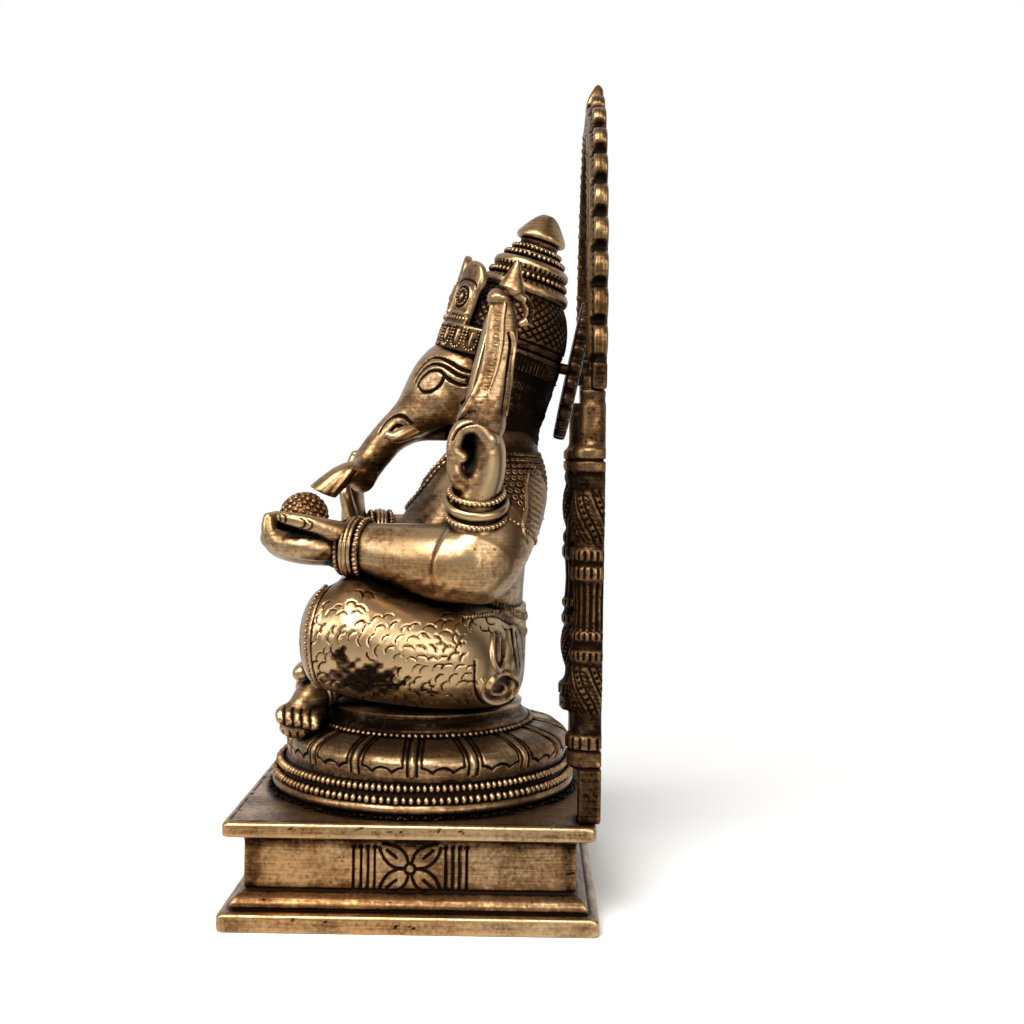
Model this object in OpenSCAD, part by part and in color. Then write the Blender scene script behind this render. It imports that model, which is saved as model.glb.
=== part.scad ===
// Seated elephant-headed household idol in cast brass, with a lift-off flame arch.
// The figure faces -Y, its left hand side is +X and the plinth stands on z = 0.
// Castings meet on flat parting faces; the arch stands on two tenons in the plinth.

/* [Plinth] */
// Side of the square foot slab
plinth_w = 98; // [90:1:110]
// Height of the plinth from the table to its top face
plinth_h = 28; // [26:0.5:32]
// Thickness of the top slab
slab_h = 4; // [3:0.25:5]
// How far the top slab stands in from the foot slab, each side
slab_inset = 1; // [0.5:0.25:2]
// How far the dado stands in from the foot slab, each side
dado_inset = 6; // [5:0.25:7]
// Wall thickness of the hollow casting
plinth_wall = 4; // [3:0.25:5]
// How far the flower on the front panel stands proud
front_relief = 1; // [0.6:0.1:1.6]

/* [Lotus pedestal] */
// Outer radius over the lower beaded ring
lotus_r = 43.8; // [42:0.2:45]
// Height of the pedestal
lotus_h = 24; // [22:0.5:27]
// Radius of the disc that the figure sits on
seat_r = 28.2; // [27:0.2:30]

/* [Figure] */
// Height of the waist seam over the seat
waist_z = 28; // [26:0.5:30]
// Height of the neck seam over the seat
neck_z = 75.3; // [74:0.1:76.5]
// Half width of the torso where the arms are joined on
arm_seam_x = 24; // [22:0.5:25]
// How far the crown and the back of the head lean back, degrees
head_lean = 17; // [14:0.5:20]
// Radius of the sweet in the left palm
modak_r = 6.8; // [6:0.1:7.4]

/* [Crown] */
// Radius of the crown at its base
crown_r = 17; // [16.2:0.1:17.6]
// Height of the crown without its finial
crown_h = 35; // [33:0.5:38]
// Thickness of the diadem shell
diadem_t = 2.3; // [1.8:0.1:2.8]
// Height of the diadem plate over the crown base
diadem_h = 26; // [23:0.5:27]
// Radius of the finial cap
finial_r = 7.3; // [6.6:0.1:8]

/* [Halo wheel] */
// Radius over the rim of the wheel
halo_r = 20.4; // [18:0.2:22]
// Thickness of the wheel
halo_t = 3.6; // [3:0.2:4.4]
// How far the wheel leans back, degrees
halo_lean = 11.4; // [9:0.2:13]
// Radius of the pin that carries the wheel
halo_pin_r = 1.6; // [1.2:0.1:2]

/* [Arch] */
// How far the pillar axes stand in from the sides of the plinth
pillar_side = 9; // [8:0.25:11]
// How far the pillar axes stand in from the back of the plinth
pillar_inset = 3.4; // [3:0.1:3.8]
// Height of the seam between pillar and hoop, over the plinth top
spring_h = 112; // [108:1:116]
// Height of the leaf tip over the plinth top
arch_h = 203; // [196:1:210]
// Radial width of the plain hoop
hoop_w = 8; // [7:0.25:9]
// Thickness of the hoop behind its front ridges
hoop_t = 3.9; // [3.4:0.1:4.5]
// How far the front ridges stand out
ridge_t = 1.5; // [1:0.1:2]
// Flame lobes on each side of the hoop
lobes = 9; // [7:1:11]

/* [Joints] */
// Gap all round a tenon that lifts out of its socket
lift_gap = 0.3; // [0.25:0.05:0.5]
// Radial gap round a pin or bolt
pin_gap = 0.05; // [0.03:0.01:0.1]
// Width of each tenon
tenon_w = 6; // [5:0.25:7]
// Thickness of each tenon
tenon_t = 2.4; // [2:0.1:2.6]
// Radius of the tie bolt under the figure
bolt_r = 3; // [2.5:0.1:3.5]
// How far the tie bolt reaches into the figure
bolt_grip = 12; // [10:0.5:16]

/* [Hidden] */
$fn = 48;

brass = "#a8804e";
dark_brass = "#6e4f2a";
steel = "#8d8d88";

seat_z = plinth_h + lotus_h;
slab_half = plinth_w / 2 - slab_inset;
dado_half = plinth_w / 2 - dado_inset;
arch_back = plinth_w / 2;
pillar_x = plinth_w / 2 - pillar_side;
pillar_y = plinth_w / 2 - pillar_inset;
tenon_y = pillar_y - 1.2;
hollow_half = dado_half - plinth_wall;
hollow_top = plinth_h - slab_h - 2;
washer_t = 1.2;
head_y = 22.3;
head_z = 103;
crown_seam = -7;
lobe_turn = 36;
lobe_r = 5.6;
modak_at = [23, -32.1, 46.4 + modak_r];
goad_at = [42, 15.3, 67];
goad_lean = 8;
spear_lean = 17;
collar_h = 10.6;
spigot_r = 1.6;
spigot_l = 6;
halo_at = [0, 41.6, 95.5];
halo_grip = 10;
ellipse_z = plinth_h + spring_h + 8;
hoop_a = pillar_x - 0.5;
hoop_b = plinth_h + arch_h - 11 - ellipse_z;
polygon_ease = 1 / cos(180 / 24);

function unit(v) = v / norm(v);
function heading(st, i) = unit(st[min(i + 1, len(st) - 1)][0] - st[max(i - 1, 0)][0]);

// A solid through elliptical sections [centre, half width along side, half width across].
// A cap length rounds an end off; axis fixes one direction for every section.
module loft(st, side = [1, 0, 0], n = 18, cap0 = 0, cap1 = 0, axis = [0, 0, 0]) {
    m = len(st) - 1;
    t0 = norm(axis) > 0 ? axis : heading(st, 0);
    t1 = norm(axis) > 0 ? axis : heading(st, m);
    first = [for (q = [18, 48]) [st[0][0] - t0 * cap0 * cos(q), st[0][1] * sin(q), st[0][2] * sin(q), t0]];
    last = [for (q = [48, 18]) [st[m][0] + t1 * cap1 * cos(q), st[m][1] * sin(q), st[m][2] * sin(q), t1]];
    body = [for (i = [0:m]) [st[i][0], st[i][1], st[i][2], norm(axis) > 0 ? axis : heading(st, i)]];
    all = concat(cap0 > 0 ? first : [], body, cap1 > 0 ? last : []);
    k = len(all);
    points = [
        for (s = all)
            let (v = unit(cross(s[3], side)), u = cross(v, s[3]))
                for (i = [0:n - 1])
                    s[0] + u * s[1] * cos(360 * i / n) + v * s[2] * sin(360 * i / n)
    ];
    sides = [
        for (j = [0:k - 2])
            for (i = [0:n - 1])
                let (a = j * n + i, b = j * n + (i + 1) % n)
                    each [[a, a + n, b], [b, a + n, b + n]]
    ];
    start = [[for (i = [0:n - 1]) i]];
    end = [[for (i = [0:n - 1]) k * n - 1 - i]];
    polyhedron(points = points, faces = concat(start, sides, end), convexity = 6);
}

// Horizontal sections: [height, middle y, half width, half depth].
module tower(rows, n = 24, cap0 = 0, cap1 = 0)
    loft([for (r = rows) [[0, r[1], r[0]], r[2], r[3]]], n = n, cap0 = cap0, cap1 = cap1, axis = [0, 0, 1]);

module ball(at, r) translate(at) sphere(r = r, $fn = 10);

// A finger, toe or fold through a list of [point, radius].
module digit(list)
    for (i = [0:len(list) - 2])
        hull() {
            ball(list[i][0], list[i][1]);
            ball(list[i + 1][0], list[i + 1][1]);
        }

// One continuous cast skin: the pieces inside are taken together as one mesh.
module skin() resize([0, 0, 0]) union() children();

module on_seat() translate([0, 0, seat_z]) children();

module on_head() on_seat() translate([0, head_y, head_z]) rotate([-head_lean, 0, 0]) children();

/* Base */

module plinth_outline() {
    f = plinth_w / 2;
    d = dado_half;
    s = slab_half;
    top = plinth_h - slab_h;
    right = [
        [f, 0], [f, 4.2], [f - 0.8, 4.9], [f - 2.7, 5.1], [f - 2.7, 6.2],
        [d + 2, 7.2], [d + 0.8, 8.4], [d, 9.4],
        [d, top - 1.8], [d + 0.6, top - 0.7], [d + 1.6, top],
        [s - 0.4, top], [s, top + 0.4], [s, plinth_h - 0.9], [s - 0.9, plinth_h]
    ];
    left = [for (i = [len(right) - 1:-1:0]) [-right[i][0], right[i][1]]];
    polygon(concat(right, left));
}

module moulded_block()
    intersection() {
        rotate([90, 0, 0]) linear_extrude(height = plinth_w, center = true) plinth_outline();
        rotate([90, 0, 90]) linear_extrude(height = plinth_w, center = true) plinth_outline();
    }

// Four pointed petals round a boss, as a flat outline.
module panel_flower(reach) {
    bow = reach * 0.78;
    for (a = [45:90:315])
        rotate(a)
            intersection() {
                translate([reach / 2, bow - reach * 0.3]) circle(r = bow);
                translate([reach / 2, reach * 0.3 - bow]) circle(r = bow);
            }
    circle(r = reach * 0.22);
}

module plinth() color(brass)
    difference() {
        union() {
            moulded_block();
            translate([0, -dado_half + 0.5, (plinth_h - slab_h + 8) / 2])
                rotate([90, 0, 0])
                    linear_extrude(height = 0.5 + front_relief) panel_flower(7.6);
        }
        translate([-hollow_half, -hollow_half, -1])
            cube([2 * hollow_half, 2 * hollow_half, hollow_top + 1]);
        cylinder(r = bolt_r + pin_gap, h = plinth_h + 1);
        for (x = [-pillar_x, pillar_x])
            translate([x, tenon_y, plinth_h])
                cube([tenon_w + 2 * lift_gap, tenon_t + 2 * lift_gap, 2 * slab_h + 1], center = true);
    }

module tie_washer() color(steel)
    translate([0, 0, hollow_top - washer_t])
        difference() {
            cylinder(r = 3 * bolt_r, h = washer_t);
            translate([0, 0, -1]) cylinder(r = bolt_r + pin_gap, h = washer_t + 2);
        }

module tie_bolt() color(steel) {
    translate([0, 0, hollow_top - washer_t - 1.3 * bolt_r])
        cylinder(r = 1.9 * bolt_r, h = 1.3 * bolt_r, $fn = 6);
    translate([0, 0, hollow_top - washer_t])
        cylinder(r = bolt_r, h = seat_z + bolt_grip - hollow_top + washer_t);
}

module lotus_outline() {
    r = lotus_r;
    h = lotus_h;
    b = bolt_r + pin_gap;
    polygon([
        [b, 0], [r - 1.6, 0], [r - 2.2, 1.2], [r - 2.2, 8.6], [r - 2.9, 9.4],
        [r - 2.3, 11.2], [r - 1.9, 13], [r - 2.2, 14.4], [r - 3.6, 15.8], [r - 6.5, 17],
        [seat_r + 4.6, h - 5.8], [seat_r + 2.6, h - 5.2], [seat_r + 1.6, h - 3.9],
        [seat_r + 0.2, h - 2.6], [seat_r - 0.4, h - 1.4], [seat_r, h], [b, h]
    ]);
    translate([r - 2.1, 3.5]) circle(r = 2.1);
    translate([r - 2.5, 7.3]) circle(r = 1.8);
    translate([seat_r + 2.5, h - 5]) circle(r = 1.3);
}

module lotus_pedestal() color(brass)
    translate([0, 0, plinth_h]) rotate_extrude($fn = 96) lotus_outline();

/* Figure */

module folded_leg()
    loft([
        [[14, 24.6, 13.5], 14, 11],
        [[18, 19, 15.2], 18, 14],
        [[22.5, 8, 17.2], 19.5, 15.8],
        [[25, -6, 19], 19.6, 17],
        [[26.8, -17, 20.4], 18, 17.4],
        [[27.2, -24.5, 20.2], 14.6, 14.4]
    ], n = 22, cap0 = 3.4, cap1 = 7.4, axis = [0, -1, 0]);

module crossed_foot() {
    digit([[[-4, -22, 9], 7], [[10, -30, 4.4], 6.4], [[18.5, -34.5, -1.2], 5.2]]);
    for (i = [0:3])
        digit([[[20, -35 - 0.4 * i, 1.4 - 2.2 * i], 2], [[24.6 - 0.6 * i, -38 + 0.5 * i, -0.6 - 2.2 * i], 1.5]]);
}

module legs_shape() {
    folded_leg();
    mirror([1, 0, 0]) folded_leg();
    tower([[0, 4, 23, 22], [6, 4.5, 29, 24], [16, 6, 29, 23], [waist_z, 9.5, 25, 19.5]]);
    crossed_foot();
    mirror([1, 0, 0]) translate([1.5, 2.5, 2]) crossed_foot();
}

module legs_and_dhoti() color(brass) on_seat() skin()
    difference() {
        legs_shape();
        torso_shape();
        translate([0, 0, -20]) cylinder(r = seat_r + 1, h = 20, $fn = 40);
        translate([0, 0, -1]) cylinder(r = (bolt_r + pin_gap) * polygon_ease, h = bolt_grip + 1.6, $fn = 24);
    }

module torso_shape()
    tower([
        [waist_z, 9.8, 24, 18.4], [36, 9.5, 26.5, 18.8], [44, 9.8, 27.5, 19.4], [52, 12.2, 27.5, 19.8],
        [60, 15.8, 27.5, 18.3], [66, 17.4, 26, 16.4], [70, 18.2, 22, 14.4], [73, 18.8, 16, 12.8],
        [neck_z, 19.2, 13, 12.2]
    ], n = 28);

module torso() color(brass) on_seat() skin()
    intersection() {
        torso_shape();
        translate([-arm_seam_x, -60, 0]) cube([2 * arm_seam_x, 120, 120]);
    }

// Shoulder to elbow, the elbow itself and the forearm as far as the wrist ornaments.
module arm_and_elbow(wrist) {
    loft([
        [[17, 22.6, 60], 11.8, 11.6], [[25, 21.2, 55], 12, 12], [[32, 18.6, 48], 11.8, 12], [[36, 16.4, 43], 11.2, 11.6]
    ], side = [0, 1, 0], n = 20, cap1 = 9.4);
    loft([
        [[36.6, 17, 42.4], 11, 11], [[35, 6, 42.2], 10.2, 10], [[31.6, -5, 43.6], 8.6, 8.4], [[29, -12.6, 44.8], 7.2, 7.3],
        [[28.8, -13.4, 44.9], 8.3, 8.5], [[28.2, -15.2, 45.1], 8.3, 8.5], [[28, -15.7, 45.1], 7.5, 7.7],
        [[27, -19, 45.4], 7.4, 7.6], [[26.9, -19.5, 45.4], 8.2, 8.4], [[26.4, -21.3, 45.5], 8.2, 8.4],
        [[26.2, -22, 45.5], 6.2, 6.2], [wrist, 6, 5.4]
    ], side = [0, 0, 1], n = 20, cap0 = 9);
}

module cupped_hand() {
    loft([
        [[26, -22, 45.4], 5.2, 5.6], [[25.2, -25, 45], 4.8, 7.2], [[24, -31, 44.6], 4.3, 8.6],
        [[23.2, -37, 45.6], 3.8, 8.4], [[22.8, -40.4, 47.4], 2.8, 7]
    ], side = [0, 0, 1], n = 18, cap1 = 2.6);
    digit([[[31.4, -24, 47.4], 2.4], [[31.8, -30.5, 50.6], 2.4], [[29.4, -38.6, 52.2], 2.2]]);
    digit([[[16.6, -25, 46.4], 2.4], [[15.2, -31, 50], 2.3], [[17.6, -38, 51.4], 2.2]]);
    for (x = [19.5, 23.4, 27])
        digit([[[x, -38.4, 47], 2.2], [[x, -42, 49.6], 2], [[x, -40.6, 52.4], 1.9]]);
}

module left_front_shape() {
    arm_and_elbow([25.8, -24, 45.4]);
    cupped_hand();
}

module outside_seam() difference() {
    children();
    translate([-60 + arm_seam_x, -8, 0]) cube([60, 80, 120]);
}

module left_front_arm() color(brass) on_seat() skin()
    difference() {
        outside_seam() left_front_shape();
        legs_shape();
        translate(modak_at) sphere(r = modak_r + 0.12, $fn = 40);
    }

module raised_palm() {
    loft([
        [[25.8, -22.6, 45], 6, 5], [[25.2, -24.6, 50], 6.4, 4], [[25, -25, 56], 7.4, 3.3], [[25, -24.6, 62], 7.4, 2.8]
    ], n = 18, cap0 = 4, cap1 = 1.4);
    for (i = [0:3])
        digit([[[19.6 + 3.6 * i, -24.6, 61], 1.9], [[19.4 + 3.7 * i, -25, 66], 1.8],
            [[19.6 + 3.6 * i, -24.4, 70.6 - abs(i - 1.6)], 1.6]]);
    digit([[[18.6, -24.8, 51], 2.2], [[16.2, -26, 57], 2], [[16.6, -26.6, 61], 1.7]]);
}

module right_front_shape() {
    arm_and_elbow([25.8, -24, 45.6]);
    raised_palm();
}

module right_front_arm() color(brass) on_seat() mirror([1, 0, 0]) skin()
    difference() {
        outside_seam() right_front_shape();
        legs_shape();
    }

// Short upright forearm with its ornaments and a fist closed round a staff.
module rear_shape() {
    loft([
        [[38.4, 16, 44], 7.6, 7.6], [[39.2, 15.6, 52], 6.8, 7], [[39.4, 15.5, 52.6], 7.9, 8], [[39.6, 15.5, 54.4], 7.9, 8],
        [[39.7, 15.5, 55], 7.2, 7.3], [[39.9, 15.6, 57.4], 7.2, 7.3], [[40, 15.7, 58], 7.8, 7.9], [[40.2, 15.9, 59.6], 7.8, 7.9],
        [[40.3, 16.2, 60.2], 5.6, 5.4], [[40.8, 18.2, 66], 5.4, 4.8], [[41.2, 18.6, 72], 5.6, 4.4], [[41.6, 18, 75.4], 5.2, 4]
    ], n = 18, cap1 = 2.2);
    for (i = [0:3])
        digit([[[38 + 2.5 * i, 18.6, 75.4], 2.2], [[38 + 2.5 * i, 12.6, 77.6], 2.1],
            [[38 + 2.5 * i, 9.8, 73.4 - 0.6 * i], 2], [[38 + 2.5 * i, 12, 69.6 - 0.6 * i], 1.8]]);
    digit([[[41.6, 14, 61.4], 2.6], [[43.6, 10.4, 65.6], 2.3], [[44.4, 10.2, 70.4], 2]]);
}

// Bore for a spigot in the top of the fist, with a flat round it for the collar.
module spigot_seat()
    translate(goad_at) rotate([-goad_lean, 0, 0]) {
        translate([0, 0, collar_h - spigot_l - 0.4])
            cylinder(r = (spigot_r + pin_gap) * polygon_ease, h = 30, $fn = 24);
        translate([0, 0, collar_h]) cylinder(r = 6.4, h = 20, $fn = 40);
    }

module rear_arm()
    difference() {
        rear_shape();
        left_front_shape();
        spigot_seat();
    }

module left_rear_arm() color(brass) on_seat() skin() rear_arm();

module right_rear_arm() color(brass) on_seat() mirror([1, 0, 0]) skin() rear_arm();

/* Head */

module head_shape() {
    translate([0, head_y, head_z]) rotate([-head_lean, 0, 0])
        tower([[-27, -2, 11, 13], [-20, 0, 14.6, 16.4], [-12, 0, 16, 17], [0, 0, 16.6, 17.2]]);
    loft([
        [[0, 17, 94], 15, 15], [[0, 6, 90], 14.2, 12.8], [[0, -4.2, 81.4], 10, 7.2], [[0, -10.8, 76.6], 7.8, 5],
        [[0.6, -15.6, 71.6], 6.6, 4.5], [[2.6, -19.6, 67], 5.6, 4.7], [[5.4, -23.4, 64.8], 5.2, 4.4],
        [[9.4, -27.4, 62.9], 5.2, 3.8], [[12.4, -30.6, 61.4], 5.4, 3.2]
    ], n = 22, cap1 = 1.6);
    tower([[neck_z - 4, 19.2, 13, 12.2], [neck_z + 4, 19.4, 13.2, 13], [neck_z + 12, 19, 14.4, 14]]);
    digit([[[0, 4, 79], 4.4], [[0, -3.4, 77.6], 3]]);
    for (x = [-1, 1])
        digit([[[7 * x, 4, 86], 7.6], [[6.6 * x, -3.6, 79.6], 4]]);
}

module head_and_trunk() color(brass) on_seat() skin()
    difference() {
        head_shape();
        translate([-60, 3.6, 0]) cube([120, 60, neck_z]);
        translate([0, head_y, head_z]) rotate([-head_lean, 0, 0])
            translate([-60, -60, crown_seam]) cube([120, 120, 60]);
        translate(modak_at) sphere(r = modak_r + 0.3, $fn = 40);
    }

module ear_shape()
    loft([
        [[20, 12.6, 73.4], 5.4, 1.6], [[23.4, 12.6, 78], 9.4, 1.9], [[25, 13.6, 85], 11.6, 2],
        [[25, 15.2, 93], 12, 2], [[23.4, 16.8, 100.4], 10.4, 1.9], [[19.6, 17.6, 105.6], 7, 1.7]
    ], n = 20, cap0 = 2.4, cap1 = 2.6);

// The figure's left (1) or right (-1) side of a paired piece.
module on_side(s) mirror([s > 0 ? 0 : 1, 0, 0]) children();

// The trunk turns to one side, so each paired piece is cut by the head as it stands.
module ear(s)
    difference() {
        on_side(s) ear_shape();
        head_shape();
        translate([0, head_y, head_z]) rotate([-head_lean, 0, 0])
            translate([0, 0, crown_seam]) cylinder(r = crown_r + diadem_t + 0.6, h = 60, $fn = 60);
        on_side(s) rear_shape();
        torso_shape();
    }

module left_ear() color(brass) on_seat() skin() ear(1);

module right_ear() color(brass) on_seat() skin() ear(-1);

module tusk(s, len)
    difference() {
        on_side(s)
            loft([[[6, -1, 79.4], 2.2, 2.2], [[9.6, -6, 76.6], 2.2, 2.2], [[11.2, -6 - len * 0.6, 75.4], 1.7, 1.7],
                [[11.6, -6 - len, 76], 1.1, 1.1]], n = 14, cap1 = 0.9);
        head_shape();
    }

module left_tusk() color(brass) on_seat() skin() tusk(1, 5);

module right_tusk() color(brass) on_seat() skin() tusk(-1, 10);

module crown_outline() {
    r = crown_r;
    h = crown_h - 4;
    polygon([
        [0, crown_seam], [r, crown_seam], [r, -1.6], [r - 0.6, -1], [r - 0.2, 2], [r - 0.5, 5],
        [r - 1.4, 8.6], [r - 2.8, 12], [r - 4.4, h - 16.4], [r - 4.4, h - 15.6], [0, h - 15.6]
    ]);
    translate([0, h - 16]) square([r - 4.6, 3.4]);
    translate([0, h - 13]) square([r - 6.2, 3]);
    translate([0, h - 10.2]) square([r - 7, 3]);
    translate([0, h - 7.4]) square([r - 6.4, 2.2]);
    translate([0, h - 5.6]) square([r - 9, 2.2]);
    translate([0, h - 3.6]) square([r - 11, 3.6]);
    translate([r - 6.4, h - 11.5]) circle(r = 0.9);
    translate([r - 7.4, h - 8.6]) circle(r = 0.9);
    translate([r - 11.2, h - 2]) circle(r = 1.1);
}

module crown() color(brass)
    difference() {
        on_head() rotate_extrude($fn = 72) crown_outline();
        on_seat() halo_axis() translate([0, 0, -halo_grip - 0.4])
            cylinder(r = halo_pin_r + pin_gap, h = halo_grip + 0.4);
    }

module crown_finial() color(brass)
    on_head() translate([0, 0, crown_h - 4])
        rotate_extrude($fn = 60)
            polygon([
                [0, 0], [finial_r - 0.8, 0], [finial_r, 0.7], [finial_r - 0.2, 1.6], [finial_r - 1.6, 3],
                [finial_r - 3.6, 4.8], [finial_r - 5.4, 6.8], [0.9, 8], [0, 8.3]
            ]);

// A band round the brow that rises to a row of round lobes over the front.
module diadem_lobes() {
    translate([-40, -40, crown_seam]) cube([80, 38, 7.6]);
    for (a = [-lobe_turn, 0, lobe_turn])
        rotate(a) {
            translate([1 - lobe_r, -40, crown_seam]) cube([2 * lobe_r - 2, 40, diadem_h - lobe_r]);
            translate([0, 0, crown_seam + diadem_h - lobe_r + (a == 0 ? 2 : 0)])
                rotate([90, 0, 0]) cylinder(r = lobe_r, h = 40);
        }
}

module diadem() color(brass) on_head()
    intersection() {
        difference() {
            translate([0, 0, crown_seam]) cylinder(r = crown_r + 0.2 + diadem_t, h = diadem_h + 4, $fn = 96);
            translate([0, 0, crown_seam - 1]) cylinder(r = crown_r + 0.2, h = diadem_h + 6, $fn = 96);
        }
        diadem_lobes();
    }

/* Things held and worn */

// What both raised hands hold stands on a collar with a spigot below it.
module staff_foot() polygon([
    [0, collar_h - spigot_l], [spigot_r - 0.3, collar_h - spigot_l], [spigot_r, collar_h - spigot_l + 0.3],
    [spigot_r, collar_h + 1], [0, collar_h + 1]
]);

module goad() color(brass) on_seat() translate(goad_at) rotate([-goad_lean, 0, 0]) {
    rotate_extrude($fn = 40) {
        staff_foot();
        polygon([
            [0, collar_h], [5, collar_h], [5.6, collar_h + 1], [5.2, 13], [4.4, 15], [3.7, 19], [3.2, 26], [2.8, 35],
            [2.5, 43.6], [3.2, 44.4], [3.6, 45.6], [3.2, 46.6], [2.2, 47.2], [0, 47.4]
        ]);
    }
    translate([0, 0, 46.6]) rotate([-spear_lean, 0, 0]) rotate_extrude($fn = 40)
        polygon([[0, -1], [1.8, -0.6], [2.2, 0.4], [3.2, 1.8], [3.3, 2.6], [2.1, 6.2], [0.5, 9.6], [0, 9.8]]);
    translate([0, 3.9, 41.6]) rotate([0, 90, 0]) rotate([0, 0, 40])
        rotate_extrude(angle = 152, $fn = 48) translate([4, 0]) circle(r = 1.4);
}

module noose() color(brass) on_seat() mirror([1, 0, 0]) translate(goad_at) rotate([-goad_lean, 0, 0]) {
    rotate_extrude($fn = 40) {
        staff_foot();
        polygon([
            [0, collar_h], [4.2, collar_h], [4.6, collar_h + 1], [4, 13.4], [3.2, 15], [2.6, 18], [2.4, 24], [3.2, 25],
            [3.2, 26.4], [0, 28]
        ]);
    }
    translate([0, 0, 34]) rotate([0, 90, 0]) rotate_extrude($fn = 60) translate([8, 0]) circle(r = 1.7);
}

module modak() color(brass) on_seat() translate(modak_at) sphere(r = modak_r, $fn = 60);

module halo_axis() translate(halo_at) rotate([-90 - halo_lean, 0, 0]) children();

module halo_outline() {
    rim = halo_r - 1.6;
    difference() {
        union() {
            circle(r = rim, $fn = 96);
            for (i = [0:23]) rotate(i * 15) translate([rim - 0.2, 0]) circle(r = 1.8);
        }
        circle(r = rim - 5);
    }
    difference() {
        circle(r = 5.5);
        circle(r = halo_pin_r + pin_gap);
    }
    for (i = [0:7]) rotate(i * 45) translate([4, -1.2]) square([rim - 6, 2.4]);
}

module halo_wheel() color(dark_brass) on_seat()
    halo_axis() translate([0, 0, -halo_t / 2]) linear_extrude(height = halo_t) halo_outline();

module halo_pin() color(dark_brass) on_seat()
    halo_axis() {
        translate([0, 0, -halo_grip]) cylinder(r = halo_pin_r, h = halo_grip + halo_t / 2);
        translate([0, 0, halo_t / 2]) cylinder(r = 2.4 * halo_pin_r, h = 1.6);
    }

/* Arch */

// Turned outline of a pillar, heights over the plinth top.
module pillar_outline() {
    top = spring_h;
    polygon([
        [0, 14], [5.6, 14], [5.6, 18.6], [6, 19], [6, 22.4], [4.6, 23.4], [3.9, 25], [3.8, 27.6], [4.6, 29.6],
        [5.4, 33], [5.5, 36], [5, 39.4], [4.2, 41], [5.3, 42], [5.4, 44], [4.6, 45.4], [4.2, 46.4], [5.2, 47.4],
        [5.3, 49], [4.4, 49.8], [4.1, 56], [4.4, 62], [5.4, 63], [5.4, 66], [4.4, 66.8], [5.2, 67.8], [5.2, 70.2],
        [4.4, 71.2], [4.2, 72], [5.2, 75], [5.6, 79], [5.3, 83], [4.4, 86.4], [5, 87.4], [5, 89.4], [4.3, 90],
        [5.4, 90.8], [5.4, 96.6], [4.2, 97.6], [3.7, 99], [3.7, top - 4], [3.2, top - 3], [3.2, top - 1.4], [4, top], [0, top]
    ]);
}

module pillar() {
    back = arch_back - pillar_y;
    translate([pillar_x, pillar_y, plinth_h]) {
        intersection() {
            union() {
                rotate_extrude($fn = 48) pillar_outline();
                translate([-5.5, -2.4, 0]) cube([11, 2.4 + back, 16]);
            }
            translate([-20, -20, 0]) cube([40, 20 + back, spring_h]);
        }
        translate([-tenon_w / 2, tenon_y - pillar_y - tenon_t / 2, -slab_h]) cube([tenon_w, tenon_t, slab_h + 1]);
    }
}

module left_pillar() color(brass) pillar();

module right_pillar() color(brass) mirror([1, 0, 0]) pillar();

// Lobe angles that share the curve out evenly, from the running length of the ellipse.
function step_length(d) = norm([
    hoop_a * (cos(d + 1) - cos(d)), hoop_b * (sin(d + 1) - sin(d))
]);
run = [for (d = 0, s = 0; d <= 90; s = s + step_length(d), d = d + 1) [s, d]];
function lobe_angle(i) = lookup(run[len(run) - 1][0] * (i + 0.5) / (lobes + 0.6), run);

module ellipse(a, b) scale([a, b]) circle(r = 1, $fn = 120);

module upper_half() intersection() {
    children();
    translate([-80, 0]) square([160, 160]);
}

module hoop_outline() {
    w = hoop_w / 2;
    difference() {
        union() {
            upper_half() ellipse(hoop_a + w, hoop_b + w);
            for (i = [0:lobes - 1], s = [-1, 1])
                translate([s * (hoop_a + w - 1.4) * cos(lobe_angle(i)), (hoop_b + w - 1.4) * sin(lobe_angle(i))])
                    circle(r = 4.6);
        }
        ellipse(hoop_a - w, hoop_b - w);
        translate([-80, -20]) square([160, 20]);
    }
    for (s = [-1, 1])
        translate([s * hoop_a - 5.4, -8]) square([10.8, 8.6]);
}

module ridge(a0, width) upper_half()
    difference() {
        ellipse(hoop_a + a0 + width, hoop_b + a0 + width);
        ellipse(hoop_a + a0, hoop_b + a0);
    }

module arch_plane(from_back) translate([0, arch_back - from_back, ellipse_z]) rotate([90, 0, 0]) children();

module arch_hoop() color(brass) {
    arch_plane(0) linear_extrude(height = hoop_t) hoop_outline();
    arch_plane(hoop_t - 0.5) linear_extrude(height = ridge_t + 0.5) ridge(-hoop_w / 2, 2.4);
    arch_plane(hoop_t - 0.5) linear_extrude(height = 0.8 * ridge_t + 0.5) ridge(hoop_w / 2 - 2.6, 1.8);
}

module leaf_outline() {
    foot = hoop_b + hoop_w / 2;
    tip = plinth_h + arch_h - ellipse_z;
    intersection() {
        translate([-8, foot - 2]) circle(r = tip - foot + 6);
        translate([8, foot - 2]) circle(r = tip - foot + 6);
        translate([-20, foot - 0.6]) square([40, 40]);
    }
}

// Side view of the leaf: its front swells out and then rounds back to the tip.
module leaf_side() {
    foot = ellipse_z + hoop_b + hoop_w / 2 - 2;
    tip = plinth_h + arch_h;
    t = hoop_t + ridge_t;
    polygon([
        [0, foot], [0, tip - 2], [-1.2, tip], [-2.2, tip - 0.6], [-4, tip - 4], [-t, tip - 8], [-t, foot]
    ]);
}

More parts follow.
